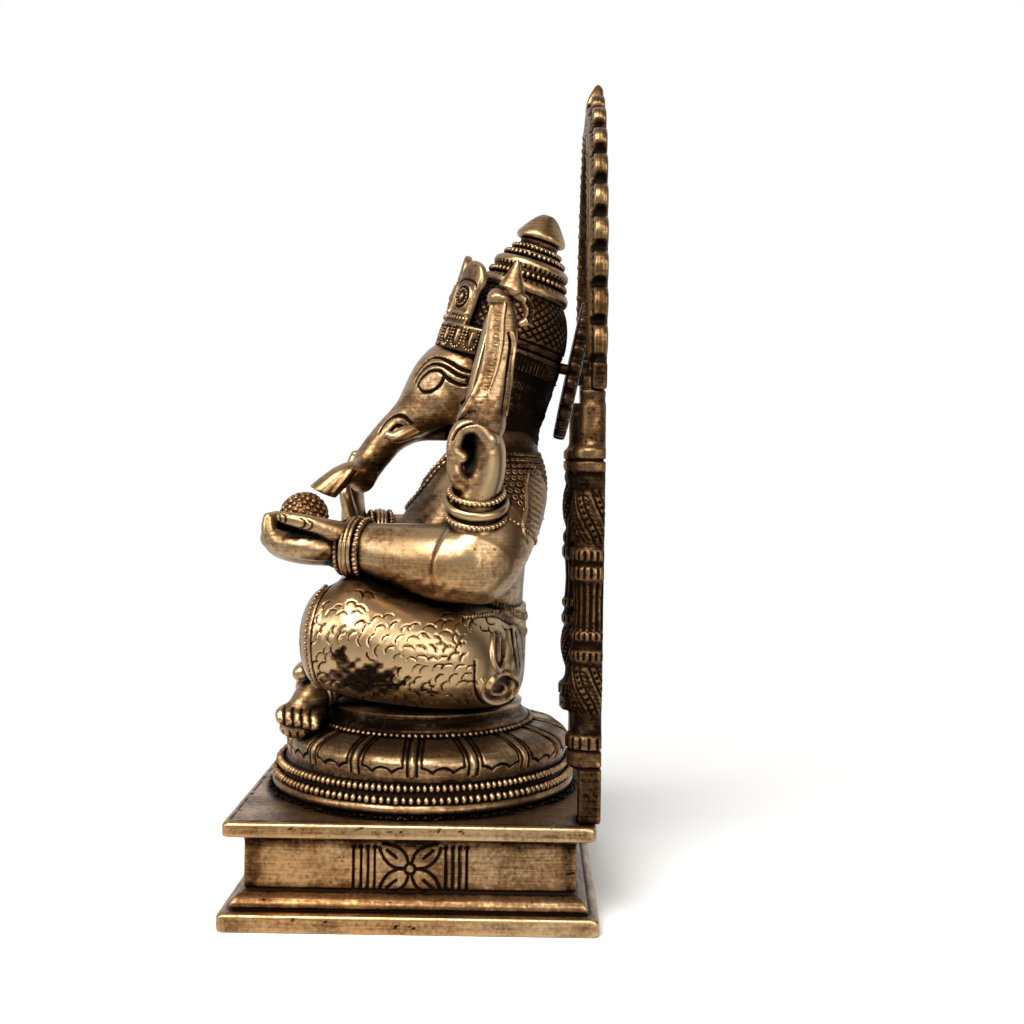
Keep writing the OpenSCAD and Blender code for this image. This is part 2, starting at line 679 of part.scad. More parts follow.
module arch_leaf() color(brass)
    intersection() {
        union() {
            arch_plane(hoop_t) linear_extrude(height = ridge_t) leaf_outline();
            arch_plane(0) linear_extrude(height = hoop_t)
                difference() {
                    leaf_outline();
                    hoop_outline();
                }
        }
        translate([0, arch_back, 0]) rotate([90, 0, 90])
            linear_extrude(height = 60, center = true) leaf_side();
    }

plinth();
tie_bolt();
tie_washer();
lotus_pedestal();
legs_and_dhoti();
torso();
left_front_arm();
right_front_arm();
left_rear_arm();
right_rear_arm();
head_and_trunk();
left_ear();
right_ear();
left_tusk();
right_tusk();
crown();
crown_finial();
diadem();
goad();
noose();
modak();
halo_wheel();
halo_pin();
left_pillar();
right_pillar();
arch_hoop();
arch_leaf();
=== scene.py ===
# %% [markdown]
# # Seated brass idol with a lift-off flame arch
# The idol is an assembly of lost-wax castings: a hollow plinth, a lotus pedestal, the figure in
# sections, a crown, a wheel behind the head and an arch that stands on two tenons.
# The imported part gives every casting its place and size. This script gives each one the skin that
# the foundry and the chaser left: smooth wax-like flesh, cut lines, punched rings, strings of beads,
# and a brown patina that polishing has rubbed off the high places.

# %% Frame and CAD box
import math

import bpy
import numpy as np
import openvdb
from mathutils import Euler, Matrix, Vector
from mathutils.bvhtree import BVHTree


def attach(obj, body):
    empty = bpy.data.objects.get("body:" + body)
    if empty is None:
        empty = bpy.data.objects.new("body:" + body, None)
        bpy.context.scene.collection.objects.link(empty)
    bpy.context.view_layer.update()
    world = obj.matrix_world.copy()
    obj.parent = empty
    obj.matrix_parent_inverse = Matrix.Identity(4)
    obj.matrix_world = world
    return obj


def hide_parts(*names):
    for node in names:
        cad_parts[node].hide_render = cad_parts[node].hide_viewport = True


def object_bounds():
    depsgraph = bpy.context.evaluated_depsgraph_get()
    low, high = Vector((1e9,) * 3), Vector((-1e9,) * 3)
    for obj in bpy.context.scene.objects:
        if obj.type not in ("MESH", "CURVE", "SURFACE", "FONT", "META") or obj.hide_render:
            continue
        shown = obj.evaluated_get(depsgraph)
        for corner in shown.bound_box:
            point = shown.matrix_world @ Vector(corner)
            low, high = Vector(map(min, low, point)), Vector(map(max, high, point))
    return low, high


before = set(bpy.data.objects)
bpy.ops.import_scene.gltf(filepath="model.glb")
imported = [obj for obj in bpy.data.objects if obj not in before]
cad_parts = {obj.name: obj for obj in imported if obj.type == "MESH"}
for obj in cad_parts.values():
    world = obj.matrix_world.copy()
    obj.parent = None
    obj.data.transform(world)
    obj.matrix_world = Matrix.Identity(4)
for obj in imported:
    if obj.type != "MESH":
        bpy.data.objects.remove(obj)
cad_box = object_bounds()

# %% [markdown]
# ## Sizes shared with the part
# Everything below is in millimetres, in the part's own frame: +Z up, the figure looks along -Y and
# its left hand is +X. Only the last step, when a mesh is made, turns millimetres into metres.

# %% Sizes
MM = 0.001
PLINTH_H = 28.0
SEAT = 52.0
HEAD_AT = np.array([0.0, 22.3, SEAT + 103.0])
HEAD_LEAN = math.radians(17)
ARCH_BACK = 49.0
MIRROR = np.array([-1.0, 1.0, 1.0])
castings = {}


def unit(v):
    return v / np.maximum(np.linalg.norm(v, axis=-1, keepdims=True), 1e-9)


def smooth(low, high, x):
    t = np.clip((x - low) / (high - low), 0, 1)
    return t * t * (3 - 2 * t)


print("seat at", SEAT, "mm, head at", HEAD_AT.tolist(), "mm")

# %% [markdown]
# ## Limbs
# A limb is a row of oval sections, as a wax modeller would roll it out. The part uses the same
# sections with flat facets between them. Here a spline runs through the rows, so that polished
# metal shows one clean highlight instead of a band for each facet.

# %% Limb
def spline(rows, steps):
    p = np.asarray(rows, float)
    a = np.vstack([2 * p[0] - p[1], p, 2 * p[-1] - p[-2]])
    t = np.linspace(0, 1, steps, endpoint=False)[:, None]
    out = []
    for p0, p1, p2, p3 in zip(a[:-3], a[1:-2], a[2:-1], a[3:]):
        out.append(0.5 * (2 * p1 + (p2 - p0) * t + (2 * p0 - 5 * p1 + 4 * p2 - p3) * t**2
                          + (3 * p1 - p0 - 3 * p2 + p3) * t**3))
    return np.vstack(out + [p[-1:]])


def woven(rows, around, ring=False):
    """Faces of a net of rows of points. Each row closes round; a ring of rows closes as well."""
    i, j = np.meshgrid(np.arange(rows if ring else rows - 1), np.arange(around), indexing="ij")
    after, beside = (i + 1) % rows, (j + 1) % around
    corners = [i * around + j, i * around + beside, after * around + beside, after * around + j]
    return np.stack(corners, -1).reshape(-1, 4)


def limb(rows, side=(1, 0, 0), cap0=0.0, cap1=0.0, axis=None, around=64, steps=8):
    """Rows are x, y, z over the seat, half width along side, half width across it."""
    r = spline(rows, steps)
    c, a, b = r[:, :3], r[:, 3:4], r[:, 4:5]
    if axis is None:
        t = unit(np.gradient(c, axis=0))
    else:
        t = np.tile(np.asarray(axis, float), (len(c), 1))
    for at, cap, sign in ((0, cap0, -1), (-1, cap1, 1)):
        if cap:
            q = np.radians(np.linspace(84, 6, 8))[:, None]
            dome = [c[at] + sign * t[at] * cap * np.cos(q), a[at] * np.sin(q), b[at] * np.sin(q),
                    np.tile(t[at], (8, 1))]
            pairs = zip((c, a, b, t), dome)
            c, a, b, t = (np.vstack([y[::-1], x] if sign < 0 else [x, y]) for x, y in pairs)
    v = unit(np.cross(t, np.asarray(side, float)))
    u = np.cross(v, t)
    turn = np.linspace(0, 2 * np.pi, around, endpoint=False)
    ring = (c[:, None] + u[:, None] * (a * np.cos(turn))[..., None]
            + v[:, None] * (b * np.sin(turn))[..., None])
    verts = np.vstack([ring.reshape(-1, 3), c[:1], c[-1:]]) + [0, 0, SEAT]
    e = np.arange(around)
    after = (e + 1) % around
    last, end = (len(c) - 1) * around, len(c) * around
    tris = np.vstack([np.stack([np.full(around, end), after, e], -1),
                      np.stack([np.full(around, end + 1), last + e, last + after], -1)])
    return verts, tris, woven(len(c), around)


def digit(points, side=(1, 0, 0)):
    """A finger or toe through rows of x, y, z, radius."""
    rows = [(*p[:3], p[3], p[3]) for p in points]
    return limb(rows, side, cap0=points[0][3], cap1=points[-1][3], around=44)


def tower(rows):
    """Level sections: height, middle y, half width, half depth."""
    return limb([(0, y, z, a, b) for z, y, a, b in rows], axis=(0, 0, 1))


def mirrored(shape):
    verts, tris, quads = shape
    return verts * MIRROR, tris[:, ::-1], quads[:, ::-1]


print("a plain limb has", len(tower([(0, 0, 5, 5), (10, 0, 5, 5)])[0]), "points")

# %% [markdown]
# ## One skin from many forms
# Wax arms and fingers are pressed on and the joins are smoothed with a warm tool. The same thing is
# done here with distance fields: each form becomes a grid of distances to its surface, the grids are
# melted together with a soft minimum, and the zero surface is drawn out again as one even net of
# small faces. That net is fine enough to take the cut lines that follow.

# %% Skin
BAND = 3.2


def distances(shape, voxel, origin, dims):
    verts, tris, quads = shape
    grid = openvdb.FloatGrid.createLevelSetFromPolygons(
        verts.astype(np.float32), triangles=tris.astype(np.uint32), quads=quads.astype(np.uint32),
        transform=openvdb.createLinearTransform(voxelSize=voxel), halfWidth=BAND / voxel)
    out = np.empty(dims, np.float32)
    grid.copyToArray(out, ijk=origin)
    return out


def box_blur(field, radius, axis):
    pad = [(radius + 1, radius) if i == axis else (0, 0) for i in range(3)]
    total = np.cumsum(np.pad(field, pad, mode="edge"), axis=axis, dtype=np.float64)
    n = field.shape[axis]
    take = lambda s: np.take(total, np.arange(s, s + n), axis=axis)
    return ((take(2 * radius + 1) - take(0)) / (2 * radius + 1)).astype(np.float32)


def blurred(field, radius, passes=2):
    for _ in range(passes):
        for axis in range(3):
            field = box_blur(field, radius, axis)
    return field


def net(field, voxel, origin):
    grid = openvdb.FloatGrid(background=BAND)
    grid.copyFromArray(field, ijk=origin)
    grid.transform = openvdb.createLinearTransform(voxelSize=voxel)
    points, quads = grid.convertToQuads(isovalue=0.0)
    return points.astype(float), quads[:, ::-1].astype(int)


def melt(shapes, voxel, soft, cuts=(), soften=0):
    """Joins shapes with fillets of the soft width and takes cuts away. soften rounds edges, in voxels."""
    low = np.min([s[0].min(0) for s in shapes], axis=0) - BAND
    high = np.max([s[0].max(0) for s in shapes], axis=0) + BAND
    origin = tuple(int(x) for x in np.floor(low / voxel))
    dims = tuple(int(x) for x in np.ceil((high - low) / voxel) + 2)
    total = distances(shapes[0], voxel, origin, dims)
    for s in shapes[1:]:
        d = distances(s, voxel, origin, dims)
        h = np.clip(0.5 + 0.5 * (d - total) / soft, 0, 1)
        total = d + (total - d) * h - soft * h * (1 - h)
    for s in cuts:
        total = np.maximum(total, -distances(s, voxel, origin, dims))
    if soften:
        total = blurred(total, soften)
    return net(total, voxel, origin)


print("a plain limb melts to", len(melt([tower([(0, 0, 5, 5), (10, 0, 5, 5)])], 1.0, 1.0)[1]), "faces")

# %% [markdown]
# ### Reading and placing meshes
# A few small helpers carry points between Blender and the arrays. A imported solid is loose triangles,
# so its copy is merged first.

# %% Mesh helpers
def points_of(mesh):
    co = np.empty(len(mesh.vertices) * 3)
    mesh.vertices.foreach_get("co", co)
    return co.reshape(-1, 3)


def triangles_of(mesh):
    mesh.calc_loop_triangles()
    tris = np.empty(len(mesh.loop_triangles) * 3, int)
    mesh.loop_triangles.foreach_get("vertices", tris)
    return tris.reshape(-1, 3)


def of_node(name):
    """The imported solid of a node, merged, in millimetres."""
    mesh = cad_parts[name].data
    verts, where = np.unique(np.round(points_of(mesh) / MM, 4), axis=0, return_inverse=True)
    return verts, where.ravel()[triangles_of(mesh)], np.zeros((0, 4), int)


def placed(name, data):
    obj = bpy.data.objects.new(name, data)
    bpy.context.scene.collection.objects.link(obj)
    return obj


def evaluated(obj):
    """The object's mesh with its modifiers applied."""
    return bpy.data.meshes.new_from_object(obj.evaluated_get(bpy.context.evaluated_depsgraph_get()))


print("points of the packed plinth:", len(of_node("plinth")[0]))

# %% [markdown]
# ## A casting
# Each casting keeps its points, its outward directions, and how deep the chaser's tool went at each
# point. Cut lines are both moved in the mesh and remembered, so that the finish can lay dark wax in
# exactly those lines. In the gaps between the arch's flames that dark is painted shade.

# %% Casting
class Casting:
    def __init__(self, name, verts, faces, node=None, body="idol"):
        self.name, self.node, self.body = name, name if node is None else node, body
        self.v, self.f = np.asarray(verts, float), np.asarray(faces)
        a, b, c = (self.v[self.f[:, k]] for k in (0, 1, 2))
        if np.einsum("ij,ij->i", a - self.v.mean(0), np.cross(b - a, c - a)).sum() < 0:
            self.f = self.f[:, ::-1]
        self.cut = np.zeros(len(self.v))
        self.dark = np.zeros(len(self.v))
        self.rub_and_highlight = np.zeros(len(self.v))
        castings[name] = self

    def normals(self):
        p = self.v[self.f]
        n = np.cross(p[:, 2] - p[:, 0], p[:, -1] - p[:, 1])
        out = np.zeros_like(self.v)
        for k in range(p.shape[1]):
            np.add.at(out, self.f[:, k], n)
        return unit(out)

    def darken(self, tone):
        self.dark = np.maximum(self.dark, tone)

    def trace(self, points, toward=(-1, 0, 0), start=80.0):
        """Drops points on the skin, as a stencil is laid on. Gives places and outward directions."""
        if not hasattr(self, "tree"):
            self.tree = BVHTree.FromPolygons(self.v.tolist(), self.f.tolist())
        points = np.asarray(points, float).reshape(-1, 3)
        toward = np.broadcast_to(np.asarray(toward, float), points.shape)
        hits = [self.tree.ray_cast(Vector(p - d * start), Vector(d)) for p, d in zip(points, toward)]
        hits = [h for h in hits if h[0] is not None]
        return tuple(np.array([h[k] for h in hits]).reshape(-1, 3) for k in (0, 1))

    def chase(self, lines, width, depth, tone=1.0):
        """Cuts lines into the skin, or raises them if depth is negative. Width may taper along a line.
        A tone below zero leaves the line bright."""
        n = self.normals()
        push = np.zeros(len(self.v))
        for line in lines:
            if len(line) < 2:
                continue
            taper = np.atleast_1d(np.asarray(width, float))
            wide = np.interp(np.linspace(0, 1, len(line)), np.linspace(0, 1, len(taper)), taper)
            reach = wide.max()
            low, high = line.min(0) - reach, line.max(0) + reach
            near = np.nonzero(np.all((self.v > low) & (self.v < high), axis=1))[0]
            if not len(near):
                continue
            p, a, b = self.v[near, None], line[None, :-1], line[None, 1:]
            t = ((p - a) * (b - a)).sum(-1) / np.maximum(((b - a) ** 2).sum(-1), 1e-9)
            t = np.clip(t, 0, 1)
            far = np.linalg.norm(p - a - t[..., None] * (b - a), axis=-1)
            here = wide[:-1] + (wide[1:] - wide[:-1]) * t
            deep = np.clip(1 - (far / here) ** 2, 0, 1).max(1)
            push[near] = np.maximum(push[near], deep)
        self.v -= n * (depth * push**1.5)[:, None]
        if tone < 0:
            self.cut *= 1 - push
            self.dark *= 1 - push
        else:
            self.cut = np.maximum(self.cut, push * tone)


print("forms ready")

# %% [markdown]
# ## The figure
# The flesh of the figure is melted from limbs, casting by casting, with the sections of the part.
# Fingers, toes and the trunk get small fillets, the hips and thighs wide ones.

# %% Legs and feet
thigh = limb([(14, 24.6, 13.5, 14, 11), (18, 19, 15.2, 18, 14), (22.5, 8, 17.2, 19.5, 15.8),
              (25, -6, 19.4, 19.6, 16.6), (26.8, -17, 21.3, 18, 16.5), (27.2, -24.5, 20.7, 14.6, 13.9)],
             cap0=3.4, cap1=7.4, axis=(0, -1, 0))
hips = tower([(0, 4, 23, 22), (6, 4.5, 29, 24), (16, 6, 29, 23), (28, 9.5, 25, 19.5)])
RIGHT_FOOT_SHIFT = (1.5, 2.5, 2)


def foot(shift=(0, 0, 0)):
    moved = lambda rows: [tuple(a + b for a, b in zip(row, shift)) + tuple(row[3:]) for row in rows]
    instep = digit(moved([(-4, -22, 9, 7), (8, -26.6, 6.4, 6.2), (15.4, -30, 3.2, 5),
                          (19.4, -32.6, 0.2, 3.9)]))
    heel = digit(moved([(8, -28, 10, 3.4), (16, -32, 9.8, 3), (18.8, -33, 9.6, 2.4)]))
    toes = [digit(moved([(15, -34 + 1.6 * i, -0.4 - 0.2 * i, 1.9),
                         (22.8, -37.2 + 2.25 * i, -0.5 - 0.3 * i, 1.75),
                         (24.8, -37.1 + 2.25 * i, -2 - 0.4 * i, 1.5)])) for i in range(5)]
    sole = limb(moved([(8, -27, -0.5, 4, 3.4), (15, -31.2, -2.8, 4.8, 3.5), (20.4, -33.6, -4.6, 4.8, 3.2),
                       (22.8, -34.4, -5.6, 4, 2.3)]), (0, 1, 0), cap1=1.4)
    return [instep, heel, *toes, sole]


left_foot, right_foot = foot(), [mirrored(s) for s in foot(RIGHT_FOOT_SHIFT)]
seat_disc = limb([(0, 0, z, 29.4, 29.4) for z in (-12, -6, 0)], axis=(0, 0, 1), steps=2)
legs = Casting("legs_and_dhoti", *melt([hips, thigh, mirrored(thigh), *left_foot, *right_foot], 0.4, 0.9,
                                       cuts=[seat_disc]))
print("legs", len(legs.f), "faces")

# %% [markdown]
# ### Torso
# The body swells from the waist to the belly and closes at the neck. It could be sculpted freehand, but
# level ovals stacked like slices give the same swell with nine rows of numbers, and the first and last
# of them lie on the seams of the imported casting.

# %% Torso
belly_and_chest = tower([(26, 9.8, 23.4, 18), (36, 9.5, 26.5, 18.8), (44, 9.8, 27.5, 19.4),
                         (52, 12.2, 27.5, 19.8), (60, 15.8, 27.5, 18.3), (66, 17.4, 26, 16.4),
                         (70, 18.2, 22, 14.4), (73, 18.8, 16, 12.8), (78, 19.2, 13, 12.2)])
torso = Casting("torso", *melt([belly_and_chest], 0.6, 1.0))
print("torso", len(torso.f), "faces")

# %% [markdown]
# ### Front arms and hands
# The left forearm lies level and ends in a cupped hand for the sweet; the right palm is raised. Fingers
# could be rounded boxes, but wax fingers swell and bend, so each is a short limb. The sweet is cut out of
# the palm, so that it sits in a true hollow, and a soft step is pressed in where the elbow folds.

# %% Arms and hands
SWEET_X, SWEET_Y, SWEET_Z = 23, -32.1, 53.2


def ball_for_sweet(radius):
    rows = [(SWEET_X, SWEET_Y, SWEET_Z + 0.01 * i, radius, radius) for i in (-1, 1)]
    return limb(rows, cap0=radius, cap1=radius, axis=(0, 0, 1))


upper_arm = limb([(17, 22.6, 60, 11.8, 11.6), (25, 21.2, 55, 12, 12), (32, 18.6, 48, 11.8, 12),
                  (36, 16.4, 43, 11.2, 11.6)], side=(0, 1, 0), cap0=8, cap1=9.4)
forearm = limb([(36.6, 17, 42.4, 11, 11), (35, 6, 42.2, 10.2, 10), (31.6, -5, 43.6, 8.6, 8.4),
                (29, -12.6, 44.8, 7.2, 7.3), (27.4, -18, 45.3, 6.7, 6.6), (26.2, -22, 45.5, 6.2, 6.2),
                (25.8, -24, 45.4, 6, 5.4)], side=(0, 0, 1), cap0=9)
bowl = limb([(26, -21, 45.2, 5.4, 5.6), (25.4, -25, 44.8, 4.9, 7.2), (24.2, -31, 44.7, 4.6, 8.5),
             (23.4, -37, 45.8, 4.4, 8.3), (23, -40.2, 47.6, 3.6, 7)], side=(0, 0, 1), cap1=3.2)
thumb = digit([(29, -18.6, 48, 4), (32.4, -23, 49.8, 3), (34, -27.4, 51.4, 2.3), (34.2, -32, 52.5, 2),
               (33.6, -36.2, 53.4, 1.5)])
wall = digit([(30, -23, 44.8, 3.2), (32, -28, 45.2, 3.4), (32, -33, 45.6, 3.3), (30.2, -38, 47, 2.8)])
far_thumb = digit([(16.8, -25, 46.6, 2.6), (15.2, -31, 50, 2.4), (17.4, -37, 51.6, 2.1)])
tips = [digit([(x, -38.6, 46.6, 2.6), (x, -40.2, 49.6, 2.2), (x, -40.4, 52.8, 1.6)])
        for x in (18.8, 22.6, 26.4, 30.2)]
hollow_for_sweet = ball_for_sweet(6.9)
left_arm = Casting("left_front_arm", *melt([upper_arm, forearm, bowl, wall, far_thumb, *tips, thumb], 0.4, 0.6,
                                           cuts=[hollow_for_sweet]))
palm = limb([(25.8, -22.6, 45, 6, 5), (25.2, -24.6, 50, 6.4, 4), (25, -25, 56, 7.4, 3.3),
             (25, -24.6, 62, 7.4, 2.8)], cap0=4, cap1=1.4)
fingers = [digit([(19.6 + 3.6 * i, -24.6, 61, 1.9), (19.4 + 3.7 * i, -25, 66, 1.8),
                  (19.6 + 3.6 * i, -24.4, 70.6 - abs(i - 1.6), 1.6)]) for i in range(4)]
side_thumb = digit([(18.6, -24.8, 51, 2.2), (16.2, -26, 57, 2), (16.6, -26.6, 61, 1.7)])
raised = [mirrored(s) for s in (upper_arm, forearm, palm, *fingers, side_thumb)]
right_arm = Casting("right_front_arm", *melt(raised, 0.45, 0.7))
ELBOW_STEP = 1.4
elbow_fold = np.array([(35, 5.8), (39.5, 4.5), (43.3, 4.5), (47.8, 6), (51.6, 7.8)])
for arm in (left_arm, right_arm):
    x, y, z = arm.v[:, 0], arm.v[:, 1], arm.v[:, 2] - SEAT
    past = y - np.interp(z, elbow_fold[:, 0], elbow_fold[:, 1])
    arm.v[:, 0] += (np.sign(x) * ELBOW_STEP * smooth(-0.7, 1.1, past) * smooth(15, 4, past)
                    * smooth(32, 36, z) * smooth(53.5, 51, z) * smooth(30, 34, np.abs(x)))
print("front arms", len(left_arm.f), len(right_arm.f), "faces")

# %% [markdown]
# ### Rear arms
# Two short forearms stand up behind the elbows and close round a goad and a noose. The four fingers
# differ by one step along X, so one list of points makes them all, and the right arm is the left one
# in a mirror.

# %% Rear arms
wrist_up = limb([(38.4, 16, 44, 7.6, 7.6), (39.2, 15.6, 52, 6.8, 7), (39.8, 15.6, 57, 6.2, 6.3),
                 (40.3, 16.2, 60.2, 5.6, 5.4), (40.8, 18.2, 66, 5.4, 4.8), (41.2, 18.6, 72, 5.6, 4.4),
                 (41.6, 18, 75.4, 5.2, 4)], cap1=2.2)
curled = []
for i in range(4):
    x = 38 + 2.5 * i
    curled.append(digit([(x, 19, 74.6, 2.2), (x, 15.4, 77.9, 2.1), (x, 11.4, 77, 2.1),
                         (x, 9.8, 73.4 - 0.5 * i, 2), (x, 11.8, 70, 1.8)], side=(1, 0.01, 0)))
rear_thumb = digit([(41.6, 14.6, 61.6, 2.7), (43.8, 10.6, 65, 2.3), (44.6, 9.8, 69.6, 1.9)])
palm_back = digit([(37.4, 15.4, 63, 2.6), (37.2, 14, 69, 3.2), (37.6, 14.4, 75, 2.6)])
fist_parts = [wrist_up, *curled, rear_thumb, palm_back]
left_rear = Casting("left_rear_arm", *melt(fist_parts, 0.35, 0.7))
right_rear = Casting("right_rear_arm", *melt([mirrored(s) for s in fist_parts], 0.42, 0.7))
print("rear arms", len(left_rear.f), len(right_rear.f), "faces")

# %% [markdown]
# ### Head, ears and tusks
# The head leans by 17 degrees, and the trunk runs down in one sweep and curls to the palm. One sweep
# would pinch where the trunk turns, so two limbs melt into each other and a slanted cut ends the tip.
# The left tusk is the short one, because such figures are always made with it broken off.

# %% Head
def on_head(points):
    """From the leaning frame of head and crown to the part's frame."""
    c, s = math.cos(HEAD_LEAN), math.sin(HEAD_LEAN)
    x, y, z = np.asarray(points, float).reshape(-1, 3).T
    return np.stack([x, c * y + s * z, -s * y + c * z], -1) + HEAD_AT


upright_skull = tower([(-27, -2, 11, 13), (-20, 0, 14.6, 16.4), (-12, 0, 16, 17), (-7, 0, 16.4, 17.1),
                       (-3, 0, 16.5, 17.1)])
skull = (on_head(upright_skull[0] - [0, 0, SEAT]), *upright_skull[1:])
trunk = limb([(0, 17, 94, 15, 15), (0, 6, 90, 14.2, 12.8), (0, -4.2, 81.4, 10, 7.2),
              (0, -10.8, 76.2, 7.8, 5.2), (0.8, -15.2, 71, 6.4, 4.8), (3.4, -17.8, 66.6, 5.6, 4.5),
              (6.6, -18.6, 63.6, 5, 4)], cap1=3.2)
trunk_tip = limb([(5, -17, 65.2, 4.4, 3.2), (8.8, -20.2, 65.6, 4.8, 3), (11.6, -23.4, 64.2, 5.2, 3.2),
                  (13, -26.8, 61.3, 5.5, 3.5), (13.6, -30.8, 57.4, 5.8, 3.9)])
trunk_cut = limb([(13, -29, 59.8, 12, 12), (13, -31.6, 54.3, 12, 12)],
                 axis=unit(np.array([0, -0.43, -0.9])), steps=2)
neck = tower([(71, 19.2, 13, 12.2), (79, 19.4, 13.2, 13), (87, 19, 14.4, 14)])
chin = digit([(0, 4, 79, 4.4), (0, -3.4, 77.6, 3)], side=(0, 0, 1))
cheeks = [digit([(7 * s, 4, 86, 7.6), (6.6 * s, -3.6, 79.6, 4)], side=(0, 0, 1)) for s in (1, -1)]
head = Casting("head_and_trunk", *melt([skull, trunk, trunk_tip, neck, chin, *cheeks], 0.38, 1.0,
                                       cuts=[hollow_for_sweet, trunk_cut]))
print("head", len(head.f), "faces")

# %% Ears and tusks
def tusk(reach):
    return limb([(6, -1, 79.4, 2.2, 2.2), (9.6, -6, 76.6, 2.2, 2.2),
                 (11.2, -6 - reach * 0.6, 75.4, 1.7, 1.7), (11.6, -6 - reach, 76, 1.1, 1.1)],
                cap0=2, cap1=0.9, around=32)


ear = limb([(20, 12.6, 73.4, 5.4, 1.6), (23.4, 12.6, 78, 9.4, 1.9), (25, 13.6, 85, 11.6, 2),
            (25, 15.2, 93, 12, 2), (23.4, 16.8, 100.4, 10.4, 1.9), (19.6, 17.6, 105.6, 7, 1.7)],
           cap0=2.4, cap1=2.6)
for name, shape, voxel, soft in (("left_ear", ear, 0.45, 0.6), ("right_ear", mirrored(ear), 0.45, 0.6),
                                 ("left_tusk", tusk(5), 0.25, 0.4),
                                 ("right_tusk", mirrored(tusk(10)), 0.25, 0.4)):
    Casting(name, *melt([shape], voxel, soft))
    print(name, len(castings[name].f), "faces")

# %% [markdown]
# ## Turned and sawn castings
# The diadem, the noose, the wheel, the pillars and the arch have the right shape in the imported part
# already, with edges as sharp as a lathe leaves them. A copy of each solid goes through the same
# distance grid and a small blur, which rounds the edges by a third of a millimetre, as a wax and
# years of polishing do.

# %% Copies with softened edges
for name, voxel, body in (("diadem", 0.32, "idol"), ("noose", 0.32, "idol"), ("halo_wheel", 0.42, "idol"),
                          ("left_pillar", 0.34, "arch"), ("right_pillar", 0.34, "arch"),
                          ("arch_hoop", 0.42, "arch"), ("arch_leaf", 0.35, "arch")):
    Casting(name, *melt([of_node(name)], voxel, 1.0, soften=1), body=body)
    print(name, len(castings[name].f), "faces")

# %% [markdown]
# ## Crown and finial
# The crown is turned in rings: a bulb, a polished collar, then steps with beads between them, under a
# domed finial. Its profile is turned round the leaning axis of the head.

# %% Crown and finial
def rounds(profile, step):
    """A polyline walked in even steps, its corners kept."""
    out = [np.asarray(profile[:1], float)]
    for a, b in zip(profile[:-1], profile[1:]):
        a, b = np.asarray(a, float), np.asarray(b, float)
        n = max(1, math.ceil(np.linalg.norm(b - a) / step))
        out.append(a + (b - a) * (np.arange(1, n + 1) / n)[:, None])
    return np.vstack(out)


def lathe(profile, around, step):
    rows = rounds(spline(profile, 6), step)
    q = np.linspace(0, 2 * np.pi, around, endpoint=False)
    ring = np.stack([rows[:, :1] * np.cos(q), rows[:, :1] * np.sin(q), rows[:, 1:] + 0 * q], -1)
    e = np.arange(around // 2 - 1)
    cap = np.stack([e, around - 1 - e, around - 2 - e, e + 1], -1)
    quads = np.vstack([woven(len(rows), around), cap, cap[:, ::-1] + (len(rows) - 1) * around])
    return ring.reshape(-1, 3), quads


crown_profile = [(0.05, -7), (8, -7), (16.6, -7), (17, -6.6), (17, -2), (16.8, -1.5), (16.4, -1), (16.6, 0.5),
                 (16.8, 2), (16.5, 5), (15.6, 8.6), (14.3, 11.8), (12.9, 14), (12.5, 14.5), (12.9, 15),
                 (13.2, 16), (12.9, 17.2), (12, 18.2), (10.9, 18.7), (10.6, 19.6), (10.5, 20.6),
                 (10.6, 21.2), (11, 21.8), (11.2, 22.7), (10.9, 23.7), (9.8, 24.5), (8.5, 24.8), (8.1, 25.8),
                 (7.9, 26.8), (7, 27.2), (6.5, 28.2), (6.3, 29), (5.6, 29.4), (5.4, 31), (3, 31.1), (0.05, 31.1)]
finial_profile = [(0.05, 31), (4, 31), (6.4, 31), (7.1, 31.4), (7.3, 32.1), (7, 33), (6, 34.5), (4.6, 36.4),
                  (3.2, 38), (1.8, 39), (0.05, 39.3)]
verts, quads = lathe(crown_profile, 400, 0.45)
crown = Casting("crown", on_head(verts), quads)
verts, quads = lathe(finial_profile, 160, 0.4)
Casting("crown_finial", on_head(verts), quads)
print("crown", len(crown.f), "finial", len(quads), "faces")

# %% [markdown]
# ## Goad
# An elephant driver's goad: a flat staff, a knob, a spear point and a hook behind it. It could be cut
# from plate, but the cast one is thick and round at its joints, so four limbs are melted together.

# %% Goad
GOAD_X = 42
staff_rows = [(15.9, 76.4, 5.2, 6.2), (16.8, 79.9, 5.6, 6.4), (18, 83.5, 4.8, 5.5), (19.3, 88, 4, 4.5),
              (20.4, 92.5, 3.5, 4), (21.2, 97, 3.2, 4), (21.6, 101.4, 3, 4.1), (21.7, 105.9, 2.8, 3.8),
              (21.7, 109, 2.6, 3.2), (21.7, 110.8, 2.4, 2.6)]
knob_rows = [(20.9, 110.2, 3, 2.9), (20.9, 111.6, 3.4, 3.2), (21.2, 113, 2.2, 2.4)]
spear_rows = [(23, 112.2, 2, 1.8), (23.7, 113.4, 2.9, 3.3), (24.1, 114.6, 2.7, 3.2), (24.7, 117.4, 1.8, 2),
              (25.3, 120, 0.9, 0.9), (25.5, 121.4, 0.3, 0.3)]
hook_rows = [(24.6, 112, 1.4, 1.2), (26.9, 111.2, 1.6, 1.4), (28.1, 109.4, 1.6, 1.4), (28.5, 107.4, 1.5, 1.3),
             (27.8, 105.4, 1.4, 1.2), (26.2, 104.6, 1.2, 0.9)]
goad_limbs = [limb([(GOAD_X, *row) for row in rows], cap0=cap0, cap1=cap1) for rows, cap0, cap1 in (
    (staff_rows, 1, 0), (knob_rows, 0.6, 0.6), (spear_rows, 0, 0.2), (hook_rows, 1, 0.7))]
goad = Casting("goad", *melt(goad_limbs, 0.28, 0.4))
goad.dark += 0.16
print("goad", len(goad.f), "faces")

